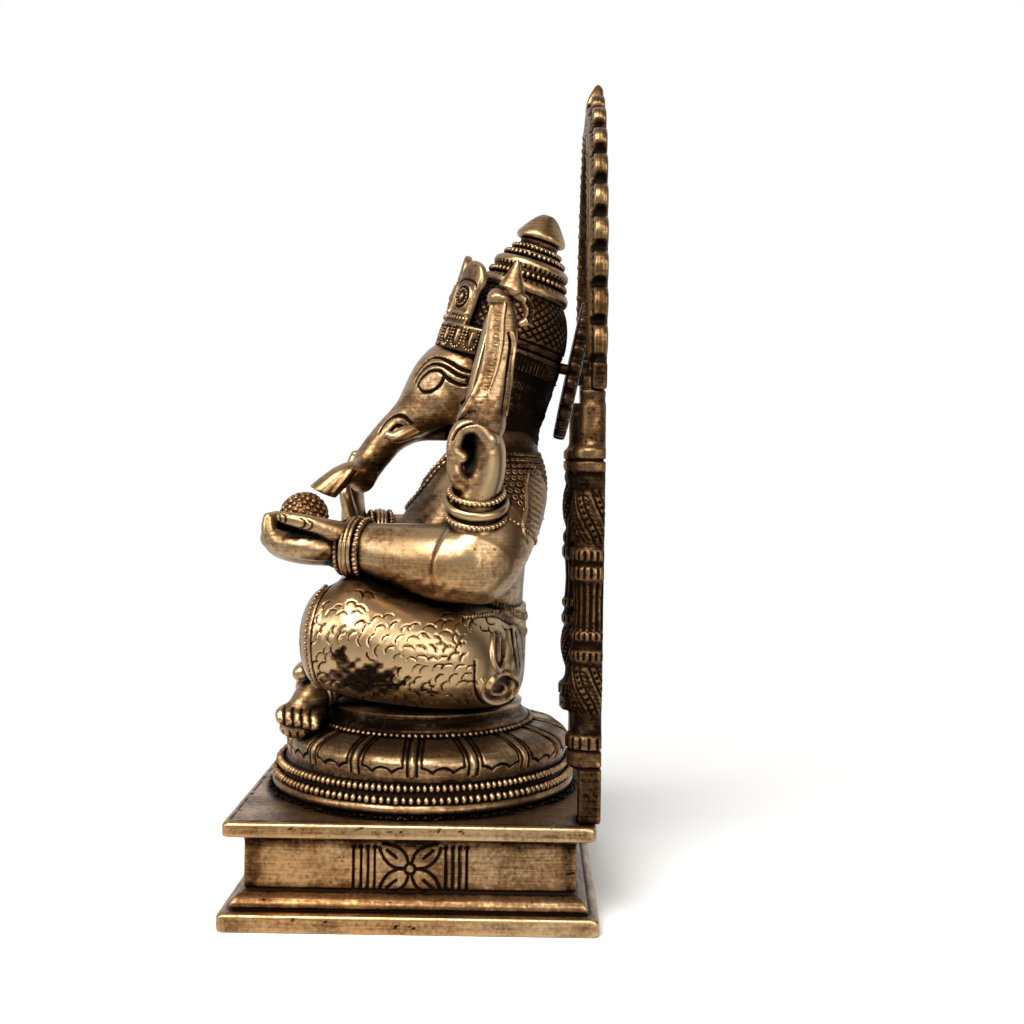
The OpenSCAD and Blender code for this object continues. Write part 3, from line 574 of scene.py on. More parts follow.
# %% [markdown]
# ## Lotus pedestal
# The pedestal was turned and then chased: sixteen petals lie over the slope, parted by a beaded
# ridge between two pairs of cut lines, and each petal ends in a double curl above the bead rings.
# It is a lathe shape whose rows are close enough together to carry that relief.

# %% Lotus pedestal: rows
AROUND, PETALS, STEP, BOLT_R = 624, 16, 0.52, 3.05
edge = spline([(42.2, 0), (42.4, 0.5), (43, 1.4), (43.2, 2.4), (42.7, 3.4), (41.5, 4.1), (41.2, 5.3), (40.9, 5.8),
               (40.5, 7.3), (40.7, 8.8), (40.8, 9.6), (41.4, 11.2), (41.8, 13), (41.5, 14.4), (40.2, 15.7),
               (37.4, 17), (34.8, 17.7), (32.6, 18.2), (30.9, 18.5), (30.2, 19), (29.9, 20.1), (28.6, 21.3),
               (27.9, 22.5), (28.1, 24)], 8)
top_rows = np.array([[r, 24.0] for r in (26, 22, 16, 10, BOLT_R)])
rows = np.vstack([[[BOLT_R, 0], [20, 0], [38, 0]], rounds(edge, STEP), top_rows])
along = np.gradient(rows, axis=0)
out = unit(np.stack([along[:, 1], -along[:, 0]], -1))
radius, height = rows[:, :1], rows[:, 1:2]
print("lotus rows:", len(rows))

# %% Lotus pedestal: petals
CUT_DEEP, RIDGE_HIGH, SWELL_HIGH, BEAD_PITCH, FRONT_DROP = 0.55, 0.5, 0.18, 1.3, 2.4
groove = lambda x, at, wide: np.clip(1 - ((x - at) / wide) ** 2, 0, 1)
turn = np.linspace(0, 2 * np.pi, AROUND, endpoint=False)
share = (turn / (2 * np.pi) * PETALS + 0.5) % 1 - 0.5
stripe = np.abs(share[None] * 2 * np.pi * radius / PETALS)
on_slope = smooth(10.0, 10.8, height) * smooth(30.6, 31.3, radius)
width = np.pi * radius / PETALS
pairs = np.maximum(groove(stripe, 1.25, 0.42), groove(stripe, 2.45, 0.36))
over_petal = np.clip((stripe - 2.5) / np.maximum(width - 2.5, 1e-6), 0, 1)
lobe = 11.2 + 1.7 * np.abs(np.cos(over_petal * np.pi)) ** 0.6
curl = groove(height, lobe, 0.42) * (stripe > 2.3) * (radius > 39)
low_end = smooth(lobe - 0.2, lobe + 0.3, height)
cuts = np.maximum(pairs * np.maximum(low_end, stripe < 1.9), curl) * on_slope
beading = np.cos(np.arange(len(rows))[:, None] * STEP / BEAD_PITCH * 2 * np.pi)
ridge = groove(stripe, 0, 0.75) * on_slope * (0.75 + 0.25 * beading)
belly = np.clip(1 - ((stripe - width * 0.5 - 1.2) / (width * 0.5 - 0.9)) ** 2, 0, 1)
swell = on_slope * 0.55 * np.sqrt(belly) * low_end
lift = -CUT_DEEP * cuts + RIDGE_HIGH * ridge + SWELL_HIGH * swell
lifted = radius + out[:, :1] * lift
grid = np.stack([lifted * np.cos(turn), lifted * np.sin(turn),
                 PLINTH_H + height + out[:, 1:] * lift + 0 * turn], -1)
up_slope = np.clip((grid[..., 2] - PLINTH_H - 6.5) / 12.5, 0, 1)
drop = FRONT_DROP * smooth(5, -38, grid[..., 1]) * np.sin(np.pi * up_slope)
grid[..., :2] *= (1 - drop / np.maximum(np.hypot(grid[..., 0], grid[..., 1]), 1))[..., None]
lotus = Casting("lotus_pedestal", grid.reshape(-1, 3), woven(len(rows), AROUND, ring=True))
lotus.cut = (cuts + 0 * lift).reshape(-1)
print("lotus", len(lotus.f), "faces")

# %% [markdown]
# ## Plinth
# A square moulding is one profile swept round a square with small corner rounds. The rows that cross
# the plain wall are close together, so that the engraved panel in the middle of each wall can be cut
# into the mesh. The sockets for the arch are sawn through the top slab last.

# %% Plinth
SIDE_POINTS = 150
inside = [(BOLT_R, 22), (20, 22), (39, 22), (39, 12), (39, 0.4)]
foot_slab = [(39.4, 0), (48.2, 0), (48.7, 0.3), (48.95, 1.1), (48.95, 3.9), (48.6, 4.6), (47.6, 4.95), (46.4, 5),
             (46, 5.3), (46.1, 6), (45.9, 6.9), (45.2, 7.8), (44.2, 8.5), (43.3, 9), (42.8, 9.3), (42.7, 9.8),
             (43, 10.3)]
top_slab = [(43, 21.7), (43.2, 22.8), (43.9, 23.6), (44.8, 23.9), (47.4, 24), (47.85, 24.3), (47.95, 24.9),
            (47.95, 27), (47.7, 27.6), (47, 27.95), (46.2, 28), (44.6, 28)]
rows = np.vstack([inside, rounds(foot_slab, 0.5), rounds([foot_slab[-1], top_slab[0]], 0.36)[1:],
                  rounds(top_slab, 0.5)[1:], rounds([top_slab[-1], (36, 28)], 0.75)[1:],
                  [(20, 28), (BOLT_R, 28)]])
even = np.linspace(-1, 1, SIDE_POINTS)
spread = 0.55 * even + 0.45 * even**3
corner = np.radians(np.linspace(0, 90, 7)[1:-1])
loops = []
for half, z in rows:
    slab = z < 5.2 or z > 23.8
    r = min(2.0 if half < 39.2 else 1.6 if slab else 0.7, half * 0.5)
    one = np.concatenate([np.stack([np.full(SIDE_POINTS, half), spread * (half - r)], -1),
                          np.stack([half - r + r * np.cos(corner), half - r + r * np.sin(corner)], -1)])
    turned = [one, np.stack([-one[:, 1], one[:, 0]], -1), -one, np.stack([one[:, 1], -one[:, 0]], -1)]
    loops.append(np.column_stack([np.vstack(turned), np.full(4 * len(one), z)]))
plinth = Casting("plinth", np.vstack(loops), woven(len(rows), len(loops[0]), ring=True))
print("plinth", len(plinth.f), "faces")

# %% [markdown]
# ## Chasing the figure
# After casting, a chaser cuts the eyes, brows and the little moons of the cloth with small punches.
# Each stroke is drawn in side view and laid on the skin by dropping its points along X, first from
# the left of the figure and then, mirrored, from the right.

# %% Face
FROM_LEFT, FROM_RIGHT = (-1,), (1,)


def side_view(stroke, steps):
    """A stroke of y and z over the seat, smoothed, in the middle plane."""
    yz = spline(stroke, steps)
    return np.column_stack([0 * yz[:, 0], yz[:, 0], yz[:, 1] + SEAT])


def engrave(casting, strokes, width, depth, tone=1.0, steps=6, sides=FROM_LEFT + FROM_RIGHT):
    for d in sides:
        lines = [casting.trace(side_view(stroke, steps), (d, 0, 0))[0] for stroke in strokes]
        casting.chase(lines, width, depth, tone)


brows = [[(-4.3, 92.2), (-2.1, 95.4), (0.9, 97.9), (3.7, 98), (6.6, 96.6), (9.7, 94.7), (12.2, 93.9)],
         [(-3.7, 91.1), (-1.5, 94.3), (1, 96.1), (3.8, 96), (6.3, 94.7), (8.9, 93), (11.4, 92.2)],
         [(-2.9, 90), (-1.2, 92.6), (1.3, 94.3), (3.8, 94.1), (6.1, 91.9), (8.6, 90.5), (11.1, 90)]]
lower_lid = [(-2.6, 89.8), (-1.2, 88.4), (1.1, 88.3), (3.3, 89.6), (4.7, 91.5), (4.7, 92.1)]
tusk_curls = [[(-13.9, 76.7), (-12.3, 79.3), (-9.8, 81.3), (-6.9, 81.4), (-4.7, 79.7), (-4.1, 79.2)],
              [(-11.7, 75.1), (-9.4, 78.2), (-7.8, 78.5), (-5.8, 77.7)]]
engrave(head, brows, [0.28, 0.42, 0.5, 0.62, 0.68, 0.45], 0.8)
engrave(head, [lower_lid], [0.3, 0.55, 0.55, 0.5], 0.7)
engrave(head, tusk_curls, [0.4, 0.62, 0.55], 0.8)
print("face chased, deepest cut tone", head.cut.max())

# %% [markdown]
# ### Moons on the cloth
# The cloth over the legs is covered with small half-moons, each one blow of a curved punch, set by eye
# in rows that wander. A texture could draw them, but a cut in the mesh also catches the light. A fixed
# seed shifts and turns each one, and none falls on the worn patch, the scroll or the knee's edge.

# %% Moons on the cloth
rng = np.random.default_rng(11)
ROW_APART, MOON_APART = 2.6, 2.9
moons = []
for row, row_z in enumerate(np.arange(4, 36.5, ROW_APART)):
    for y in np.arange(-25.2, 25, MOON_APART) + (row % 2) * MOON_APART / 2:
        y, z = y + rng.uniform(-0.7, 0.7), row_z + rng.uniform(-0.7, 0.7)
        on_patch = ((y + 13) / 9.5) ** 2 + ((z - 14.5) / 4.6) ** 2 < 1
        on_scroll = y > 15.5 and z < 24
        under_arm = z > 27.5 and -12 < y < 26
        past_cloth = ((y + 2) / 31) ** 2 + ((z - 18) / 17.2) ** 2 > 1
        if on_patch or on_scroll or under_arm or past_cloth:
            continue
        swing = 150 + 55 * math.sin(y * 0.13 + z * 0.21) + 35 * math.sin(y * 0.23 - z * 0.17 + 1)
        lean = math.radians(swing + rng.uniform(-24, 24) - 165 * float(smooth(11, 6, z)))
        q = np.radians(np.linspace(-62, 62, 7)) + lean
        r = rng.uniform(1.5, 1.95)
        moons.append([(y + r * math.cos(a), z + r * math.sin(a)) for a in q])
engrave(legs, moons, [0.15, 0.32, 0.34, 0.15], 0.32, steps=2)
print("moons on each leg:", len(moons))

# %% [markdown]
# ### Scroll and folds at the hip
# At each hip the end of the cloth rolls into a spiral beside a leaf and three folds. The hollow is
# pressed in first and the roll is raised out of it, as a chaser works, so the spiral stands on a dark
# ground. A hem closes the cloth at the knee.

# %% Scroll and folds at the hip
q = np.radians(np.arange(150, 811, 15))
r = np.interp(np.degrees(q), [150, 270, 360, 450, 540, 630, 720, 810], [5.4, 4.7, 4.4, 3.7, 2.9, 2.2, 1.4, 0.7])
spiral = [(22.3 + a * math.cos(b), 8.3 + a * math.sin(b)) for a, b in zip(r, q)]
border = [(15.8, 16.5), (15.8, 11), (16.2, 7), (18, 3.8), (22, 2), (26, 3.2)]
sash_leaf = [(20.2, 23), (20.3, 17), (22.2, 13.2), (24, 17), (23.7, 23)]
folds = [[(25 + i * 1.15, 23 - i * 0.8), (25.8 + i * 1.1, 18), (26.6 + i, 13 - i)] for i in range(3)]
engrave(legs, [[(22.2, 8.4), (22.4, 8.6)]], 5.6, 0.7, tone=0.9, steps=1)
engrave(legs, [[(22, 21), (22.2, 16.5)]], 3.6, 0.5, tone=0.8, steps=2)
engrave(legs, [spiral], 0.85, -1.1, tone=-1, steps=1)
engrave(legs, [sash_leaf], 0.8, -0.8, tone=-1)
engrave(legs, [[(22.1, 21.5), (22.2, 16.5)]], 1.3, -0.8, tone=-1)
engrave(legs, [border], 0.45, 0.5)
engrave(legs, folds, 0.42, 0.6)
hem = [(-22.8, 35.6), (-25.4, 32), (-26.8, 26), (-27, 20), (-26.4, 13), (-24.8, 7.4)]
engrave(legs, [hem], 0.4, 0.5)
bead_hem = side_view([(y - 1.5, z) for y, z in hem], 6)
hem_beads = [legs.trace(bead_hem, (d, 0, 0)) for d in FROM_LEFT + FROM_RIGHT]
print("hip scroll and knee hem chased")

# %% [markdown]
# ### Flowers on the knees
# A flower of eight petals in a ring is chased on the front of each knee. It is drawn flat in front view
# and dropped along Y, so it bends with the knee.

# %% Flowers on the knees
KNEE_X, KNEE_Z, BEFORE_ALL = 27.2, 20, -60.0
t, q = np.linspace(0, 1, 9), np.linspace(0, 2 * np.pi, 33)
flower = [(r * np.cos(q), r * np.sin(q)) for r in (8.4, 1.7)]
for a in np.arange(8) * math.pi / 4:
    for hand in (1, -1):
        r, off = 2.4 + 5 * t, hand * 1.6 * np.sin(np.pi * t)
        flower.append((r * math.cos(a) - off * math.sin(a), r * math.sin(a) + off * math.cos(a)))
for s in (1, -1):
    drawn = [np.stack([KNEE_X * s + x, 0 * x + BEFORE_ALL, SEAT + KNEE_Z + z], -1) for x, z in flower]
    legs.chase([legs.trace(line, (0, 1, 0), start=0)[0] for line in drawn], 0.4, 0.4)
print("lines in each knee flower:", len(flower))

# %% [markdown]
# ### Joints, toes and folds of skin
# A few single strokes make a casting read as a body: the joints of the thumb, the gap under it, the
# lip of the trunk, the fold of the elbow and the gaps between toes. They are drawn in side view like
# the rest. Strokes that belong to one arm only are dropped from that side.

# %% Rest of the figure's lines
knuckles = [[(y - 0.5, z + 1.3), (y + 0.6, z + 0.5), (y + 0.7, z - 0.7), (y - 0.3, z - 1.6)]
            for y, z in ((-37.2, 53.2), (-35.6, 53), (-30.4, 52), (-28.6, 51.6))]
engrave(left_arm, knuckles, [0.2, 0.36, 0.2], 0.35, steps=4, sides=FROM_LEFT)
thumb_gap = [(-38.6, 54.6), (-38.2, 51.9), (-35.8, 50.1), (-33.1, 49.4), (-29.7, 48.7), (-25.8, 48.2)]
engrave(left_arm, [thumb_gap], [0.5, 0.7, 0.8, 0.75, 0.55, 0.25], 1.5, sides=FROM_LEFT)
engrave(head, [[(-25.2, 59.6), (-22.6, 62.9), (-20.4, 66)]], 0.8, -0.55, tone=-1)
engrave(head, [[(-23.9, 59.2), (-21.2, 62.6), (-19.2, 65.4)]], 0.45, 0.6)
crease = [(7.8, 51.6), (6, 47.8), (4.5, 43.3), (4.4, 39.5)]
for arm, sides in ((left_arm, FROM_LEFT), (right_arm, FROM_RIGHT)):
    engrave(arm, [crease], [0.4, 0.9, 0.9, 0.3], 0.12, tone=0.26, sides=sides)
toe_gaps = [[(-36.5 + 2.3 * i, 1.2 - 0.3 * i), (-36.2 + 2.35 * i, -1.6 - 0.35 * i),
             (-36 + 2.35 * i, -4 - 0.35 * i)] for i in range(4)]
toe_gaps += [[(-37 + 2.1 * i, -5.4 - 0.1 * i), (-36.8 + 2.1 * i, -8.2 - 0.1 * i)] for i in range(4)]
engrave(legs, toe_gaps, [0.25, 0.4, 0.3], 0.4, steps=3)
print("toe gaps:", len(toe_gaps), "on each foot")

# %% [markdown]
# ### Lines on the goad and the fist
# The staff has a bright ridge along its edges and file marks between them, and a little crest is cut
# in the hook. Raised lines are chased with a negative depth, and a tone below zero keeps them bright.
# The hatching is random within fixed bounds, from a fixed seed.

# %% Lines on the goad and the fist
front_edge = [(y - 0.9 * b, z) for y, z, _, b in staff_rows[1:-1]]
inner_edge = [(22.3, 109.5), (21.8, 105), (21.7, 101.1), (21.3, 97.5), (20.6, 93.6), (19.6, 90), (18.2, 86)]
rear_edge = [(24.4, 102.1), (25, 99), (24.5, 94.6), (23.8, 87.9), (23, 81)]
engrave(goad, [front_edge], [0.9, 0.7, 0.6], -0.55, tone=-1, sides=FROM_LEFT)
engrave(goad, [inner_edge], [0.6, 0.7, 0.7, 0.5, 0.2], -0.6, tone=-1, sides=FROM_LEFT)
engrave(goad, [rear_edge], [0.4, 0.55, 0.55, 0.5], -0.5, tone=-1, sides=FROM_LEFT)
engrave(goad, [[(y - 1.1, z) for y, z in rear_edge]], [0.3, 0.5, 0.5, 0.4], 0.6, sides=FROM_LEFT)
rng = np.random.default_rng(17)
staff_y, staff_z, _, staff_deep = np.array(staff_rows).T
hatch = []
for z in np.arange(84, 108, 0.8):
    y, b = np.interp(z, staff_z, staff_y), np.interp(z, staff_z, staff_deep)
    start = (y - rng.uniform(0.3, 0.7) * b, z + rng.uniform(-0.2, 0.7))
    hatch.append([start, (y - rng.uniform(0.05, 0.3) * b, z - rng.uniform(-0.2, 0.7))])
engrave(goad, hatch, 0.2, 0.08, tone=0.3, steps=3, sides=FROM_LEFT)
crest = [[(27.2 + a * math.cos(q), 107.8 + b * math.sin(q)) for a, b in ((2.6, 3.6), (1.4, 2.2))]
         for q in np.radians(np.arange(-50, 71, 13))]
engrave(goad, crest, 0.34, 0.45, steps=3, sides=FROM_LEFT)
fist_line = [(9.4, 74), (11, 76.8), (13.6, 78.3), (17.4, 78.7), (20.6, 77.6)]
engrave(left_rear, [fist_line], [0.25, 0.42, 0.42, 0.25], 0.5, sides=FROM_LEFT)
print("file marks on the goad:", len(hatch))

# %% [markdown]
# ### Stains and painted shade
# A polishing wheel leaves brown dip in clouds with ragged edges, such as the rust-brown patch at the root
# of the trunk. Noise in the material alone would put them anywhere, so ellipses with a wavy edge put them
# in given places. Some of the ellipses are painted shade instead: the shadow of the forearms on the tops
# of the thighs, the undersides of the front forearm and the trunk, the gap under the thumb and the hollow
# of each fist. The rub value brightens the broad thigh: partly polish, partly a painted highlight.

# %% Stains and painted shade
def stain_and_shade(casting, spots):
    """Ellipses in side view with ragged edges: y, z over the seat, half widths, strength."""
    y, z = casting.v[:, 1], casting.v[:, 2] - SEAT
    ragged = 0.22 * np.sin(y * 1.7 + 3) * np.sin(z * 1.9 + 6) + 0.2 * np.sin(y * 0.9 - z * 1.3 + 3)
    for y0, z0, a, b, strength in spots:
        far = np.hypot((y - y0) / a, (z - z0) / b) + ragged
        casting.darken(strength * smooth(1.3, 0.5, far))


# Legs: the long patches at z 30 and 35 along the tops of the thighs are painted shadow of the forearms.
stain_and_shade(legs, [(-12.5, 11.8, 10, 5, 0.72), (-18.6, 17.8, 2.4, 2.8, 0.6), (-1, 8.2, 9, 2, 0.4), (-2, 34.6, 15, 2.6, 0.4),
             (13, 30.4, 9, 2.4, 0.35), (27, 16, 1.6, 6, 0.4), (14.6, 20, 1.6, 6, 0.2), (-30, -2, 8, 9, 0.2)])
y, z = legs.v[:, 1], legs.v[:, 2] - SEAT
# The rub brightens the broad face of each thigh: partly polish, partly a painted highlight where the lamp's sheen
# falls.
legs.rub_and_highlight = (0.9 * smooth(-31, -25, y) * smooth(27, 15, y) * smooth(3, 8, z) * smooth(35, 29, z)
            * smooth(0.5, 0.15, legs.dark))
# Left arm: the first three patches are painted shade, in the gap under the thumb and under hand and forearm.
stain_and_shade(left_arm, [(-31.5, 48.4, 6.2, 1.1, 0.6), (-22.6, 41.4, 4, 2.6, 0.6), (-2, 35.8, 12, 2.4, 0.5),
                 (-8, 49, 6, 2, 0.25)])
stain_and_shade(torso, [(-6, 56, 9, 15, 0.5)])
# Head: the patches low on the trunk and at its tip are painted shade on its underside; the last is a rust-brown
# stain.
stain_and_shade(head, [(-14, 68, 4, 4.4, 0.55), (0, 79.4, 9, 2.4, 0.45), (-17.6, 61.6, 2.6, 2, 0.4), (-4, 84.6, 5, 3, 0.28)])
stain_and_shade(goad, [(16.5, 81.5, 7, 4.6, 0.5), (18.4, 93, 2, 7, 0.3)])
# In each fist the tall patch is painted shade in the hollow of the curled fingers.
for fist in (left_rear, right_rear):
    stain_and_shade(fist, [(15.5, 69, 3.4, 5, 0.3), (13, 64, 4, 2.4, 0.35)])
print("share of the legs stained:", round(float((legs.dark > 0.2).mean()), 3))

# %% [markdown]
# ## Beads and punched rings
# Strings of beads run round the pedestal, the wrists, the crown and the arch, and the cape is
# covered with rings from a hollow punch. Such repeats are one small shape set at many places, so a
# node tree does it: points carry their outward direction, their direction along the string and
# their size, and the tree sets a shape on each, turned and scaled, with a little unevenness.

# %% Places for the repeats
places = {}


def string(path, outward, pitch, size, body="idol", closed=False, slant=0.0):
    """Beads along a path. Size is along the string, across it and outwards, as half widths in mm."""
    path, outward = np.asarray(path, float), unit(np.asarray(outward, float))
    if closed:
        path, outward = np.vstack([path, path[:1]]), np.vstack([outward, outward[:1]])
    run = np.concatenate([[0], np.cumsum(np.linalg.norm(np.diff(path, axis=0), axis=1))])
    n = max(2, round(run[-1] / pitch))
    s = np.linspace(0, run[-1], n, endpoint=not closed)
    along = lambda values, where: np.stack([np.interp(where, run, values[:, k]) for k in range(3)], -1)
    up = unit(along(outward, s))
    way = unit(along(path, s + 0.05) - along(path, s - 0.05))
    way = way + np.cross(up, way) * math.tan(math.radians(slant))
    sizes = np.tile(np.asarray(size, float), (n, 1))
    places.setdefault(("bead", body), []).append((along(path, s), up, way, sizes))


def ring_path(center, axis, radius, n):
    axis = unit(np.asarray(axis, float))
    v = unit(np.cross(axis, np.array([1.0, 0, 0])))
    u = np.cross(v, axis)
    q = np.linspace(0, 2 * np.pi, n, endpoint=False)[:, None]
    flat = u * (radius * np.cos(q)) + v * (radius * np.sin(q))
    return np.asarray(center, float) + flat, unit(flat)


for path, outward in hem_beads:
    string(path, outward, 1.5, (0.6, 0.6, 0.6))
for r, z, pitch, size in ((41.9, 4.5, 1.95, (0.88, 1.35, 1.35)), (41.0, 7.5, 1.7, (0.78, 1.2, 1.25)),
                          (30.5, 18.9, 1.65, (0.75, 0.95, 1.05))):
    string(*ring_path((0, 0, PLINTH_H + z), (0, 0, 1), r, 360), pitch, size, closed=True)
print("beads on hems and pedestal:", sum(len(p[0]) for p in places["bead", "idol"]))

# %% [markdown]
# ### Crust round the pedestal
# Old polish has dried in the corner where the pedestal stands on the plinth. Nine hundred dark crumbs
# of uneven size are strewn round its foot, from a fixed seed.

# %% Crust round the pedestal
CRUMBS, CRUST_R = 900, 43.2
rng = np.random.default_rng(23)
q = np.sort(rng.uniform(0, 2 * np.pi, CRUMBS))
r = CRUST_R + rng.normal(0, 0.5, CRUMBS)
crumbs = np.stack([r * np.cos(q), r * np.sin(q), PLINTH_H + rng.uniform(0, 0.6, CRUMBS)], -1)
away = unit(crumbs * [1, 1, 0])
crumb_sizes = rng.uniform(0.25, 0.65, (CRUMBS, 3))
places["crumb", "idol"] = [(crumbs, away, np.cross([0, 0, 1], away), crumb_sizes)]
print("crumbs:", len(crumbs))

# %% [markdown]
# ### Bangles, anklets and belts
# Wrists, ankles and waist wear plain and beaded rings. A torus would do on a round wrist, but the belts
# follow the body, so a path is found first: rays from outside feel for the skin. The same path then
# carries a plain band of oval section and the beads on top of it.

# %% Bangles and anklets
def band(path, outward, thick, wide):
    """A plain band of oval section round a closed path."""
    way = unit(np.roll(path, -1, 0) - np.roll(path, 1, 0))
    over = np.cross(outward, way)
    q = np.linspace(0, 2 * np.pi, 10, endpoint=False)
    ring = (path[:, None] + outward[:, None] * (thick * np.cos(q))[:, None]
            + over[:, None] * (wide * np.sin(q))[:, None])
    return ring.reshape(-1, 3), woven(len(path), len(q), ring=True)


def beaded_band(path, outward, pitch, size, sunk, thick, wide, slant=0.0):
    string(path, outward, pitch, size, closed=True, slant=slant)
    bands.append(band(path - outward * sunk, outward, thick, wide))


bands = []
for s in (1, -1):
    arm_way = np.array([-0.26 * s, -0.96, 0.06])
    at = lambda y: np.array([np.interp(-y, [12.6, 22], [29, 26.2]) * s, y,
                             SEAT + np.interp(-y, [12.6, 22], [44.8, 45.5])])
    beaded_band(*ring_path(at(-14.6), arm_way, 7.9, 80), 1.3, (0.62, 0.72, 0.72), 0.5, 0.75, 0.8)
    for dy, dr in ((-1.0, 0), (0.05, 0.25), (1.1, 0.05)):
        bands.append(band(*ring_path(at(-17.5 + dy), arm_way, 7.5 + dr, 80), 0.85, 0.72))
    beaded_band(*ring_path(at(-20.2), arm_way, 7.3, 80), 1.3, (0.62, 0.72, 0.72), 0.5, 0.75, 0.8)
    rear_way = np.array([0.46 * s, 0.05, 0.88])
    at = lambda z: np.array([np.interp(z, [52, 57, 60.2], [39.2, 39.8, 40.3]) * s, 15.6, SEAT + z])
    beaded_band(*ring_path(at(55.3), rear_way, 8, 80), 1.25, (0.6, 0.68, 0.68), 0.5, 0.7, 0.75)
    bands.append(band(*ring_path(at(58.3), rear_way, 7.8, 80), 0.95, 1.3))
    beaded_band(*ring_path(at(61.1), rear_way, 7.2, 80), 1.25, (0.6, 0.68, 0.68), 0.5, 0.7, 0.75)
    foot_way = unit(np.array([0.8 * s, -0.45, -0.32]))
    dx, dy, dz = RIGHT_FOOT_SHIFT if s < 0 else (0, 0, 0)
    ankle = np.array([(13.4 + dx) * s, -29.2 + dy, SEAT + 4 + dz])
    for k, r in ((-1.1, 6.4), (0.3, 6.5), (1.6, 6.1)):
        path, outward = ring_path(ankle + foot_way * k, foot_way, r, 70)
        bands.append(band(path - outward * 0.6, outward, 0.75, 0.72))
print("bangles and anklets:", len(bands))

# %% Belts
OUTSIDE, WAIST_Y = 70, 10


def first_hit(names, points, toward):
    """The outermost of several castings under each point, with its outward direction."""
    best = {}
    for name in names:
        for k, (p, d) in enumerate(zip(points, toward)):
            at, out = castings[name].trace([p], [d], start=0)
            if len(at):
                far = np.linalg.norm(at[0] - p)
                if k not in best or far < best[k][0]:
                    best[k] = (far, at[0], out[0])
    return tuple(np.array([best[k][part] for k in sorted(best)]) for part in (1, 2))


q = np.linspace(0, 2 * np.pi, 240, endpoint=False)
ways = np.stack([np.cos(q), np.sin(q), 0 * q], -1)
for high, fall, pitch, size, slant in ((30.4, 0.52, 1.5, (0.9, 1.3, 0.9), 28),
                                       (27.2, 0.63, 1.05, (0.58, 1.2, 0.75), 0)):
    z = SEAT + high - fall * np.clip(10 + 19 * np.sin(q) - 17, 0, 12)
    middle = np.stack([0 * q, WAIST_Y + 0 * q, z], -1)
    hits, _ = first_hit(("torso", "legs_and_dhoti"), middle + ways * OUTSIDE, -ways)
    r = np.linalg.norm((hits - [0, WAIST_Y, 0])[:, :2], axis=1)
    r = np.where(np.sin(q) > -0.1, r, np.minimum(r, 20))
    r = np.convolve(np.concatenate([r[-6:], r, r[:6]]), np.ones(13) / 13, "valid")
    beaded_band(middle + ways * (r[:, None] - 0.35), ways, pitch, size, 0.4, 0.9, 1.15, slant)
starts = np.cumsum([0] + [len(v) for v, _ in bands])
Casting("bangles_and_bands", np.vstack([v for v, _ in bands]),
        np.vstack([f + start for (_, f), start in zip(bands, starts)]), node="")
print("bands:", len(bands))

# %% [markdown]
# ### Cape of punched rings
# The back and shoulders are covered with rings from a hollow punch, in staggered rows that end at a
# slanting hem. Hundreds of rings are too many to cut, so their places are found with rays from outside
# and the node tree sets a small raised ring on each. Leaf-like strokes edge the cape behind the arm.

# %% Cape of punched rings
AXIS_Y = 13.0
UNDER_CAPE = ("torso", "left_front_arm", "right_front_arm")
hem_height = lambda way_x: np.interp(np.abs(way_x), [0.7, 0.78, 0.86, 0.92, 0.97], [44.4, 45.6, 48.5, 51.3, 55])
cape_points, cape_ways = [], []
for row, z in enumerate(np.arange(45, 72, 1.62)):
    for a in np.radians(np.arange(14, 166.1, 3.5) + (row % 2) * 1.75):
        if z > hem_height(math.cos(a)):
            way = np.array([math.cos(a), math.sin(a), 0])
            cape_points.append(np.array([0, AXIS_Y, SEAT + z]) + way * OUTSIDE)
            cape_ways.append(-way)
at, out = first_hit(UNDER_CAPE, cape_points, cape_ways)
leafed = (at[:, 1] > 28.4) & (np.abs(at[:, 0]) > 9) & (at[:, 2] < SEAT + 66)
keep = (at[:, 1] > 19.5) & (np.abs(at[:, 0]) < 37) & ~leafed
at, out = at[keep], out[keep]
ring_sizes = np.tile([0.84, 0.84, 1.0], (len(at), 1))
places["ring", "idol"] = [(at + out * 0.12, out, unit(np.cross(out, [0, 0, 1])), ring_sizes)]
print("cape rings:", len(at))

# %% Hem and leaves of the cape
hem_way = np.radians(np.linspace(14, 166, 140))
hem_z = hem_height(np.cos(hem_way))
ways = np.stack([np.cos(hem_way), np.sin(hem_way), 0 * hem_way], -1)
middle = np.stack([0 * hem_z, AXIS_Y + 0 * hem_z, SEAT + hem_z - 0.6], -1)
string(*first_hit(UNDER_CAPE, middle + ways * OUTSIDE, -ways), 1.3, (0.6, 0.6, 0.6))
for name in UNDER_CAPE:
    c = castings[name]
    x, y, z = np.abs(c.v[:, 0]), c.v[:, 1], c.v[:, 2]
    over_hem = z - (SEAT + hem_height(np.cos(np.arctan2(y - AXIS_Y, x))))
    c.darken(0.34 * (y > 18.5) * (x < 38) * smooth(-0.5, 0.3, over_hem))
stem = [(29, 66.5), (28.3, 62), (28.6, 57), (27.8, 52), (29.6, 47)]
leaves = [[(29.6, z + 1.3), (31.4, z + 0.2), (33.2, z - 1.4)] for z in np.arange(48.6, 65, 1.6)]
for c, sides in ((torso, FROM_LEFT + FROM_RIGHT), (left_arm, FROM_LEFT), (right_arm, FROM_RIGHT)):
    engrave(c, [stem], 0.6, -0.5, tone=-1, sides=sides)
    engrave(c, leaves, [0.3, 0.45, 0.3], -0.4, tone=-1, steps=3, sides=sides)
print("leaf strokes on each side:", len(leaves))

# %% [markdown]
# ### Necklace and chest cord
# Two strings of beads hang on the chest and a finer cord crosses it from one shoulder. A hanging curve
# is drawn in front view and dropped on the skin from the front, so that each bead rests on the body.

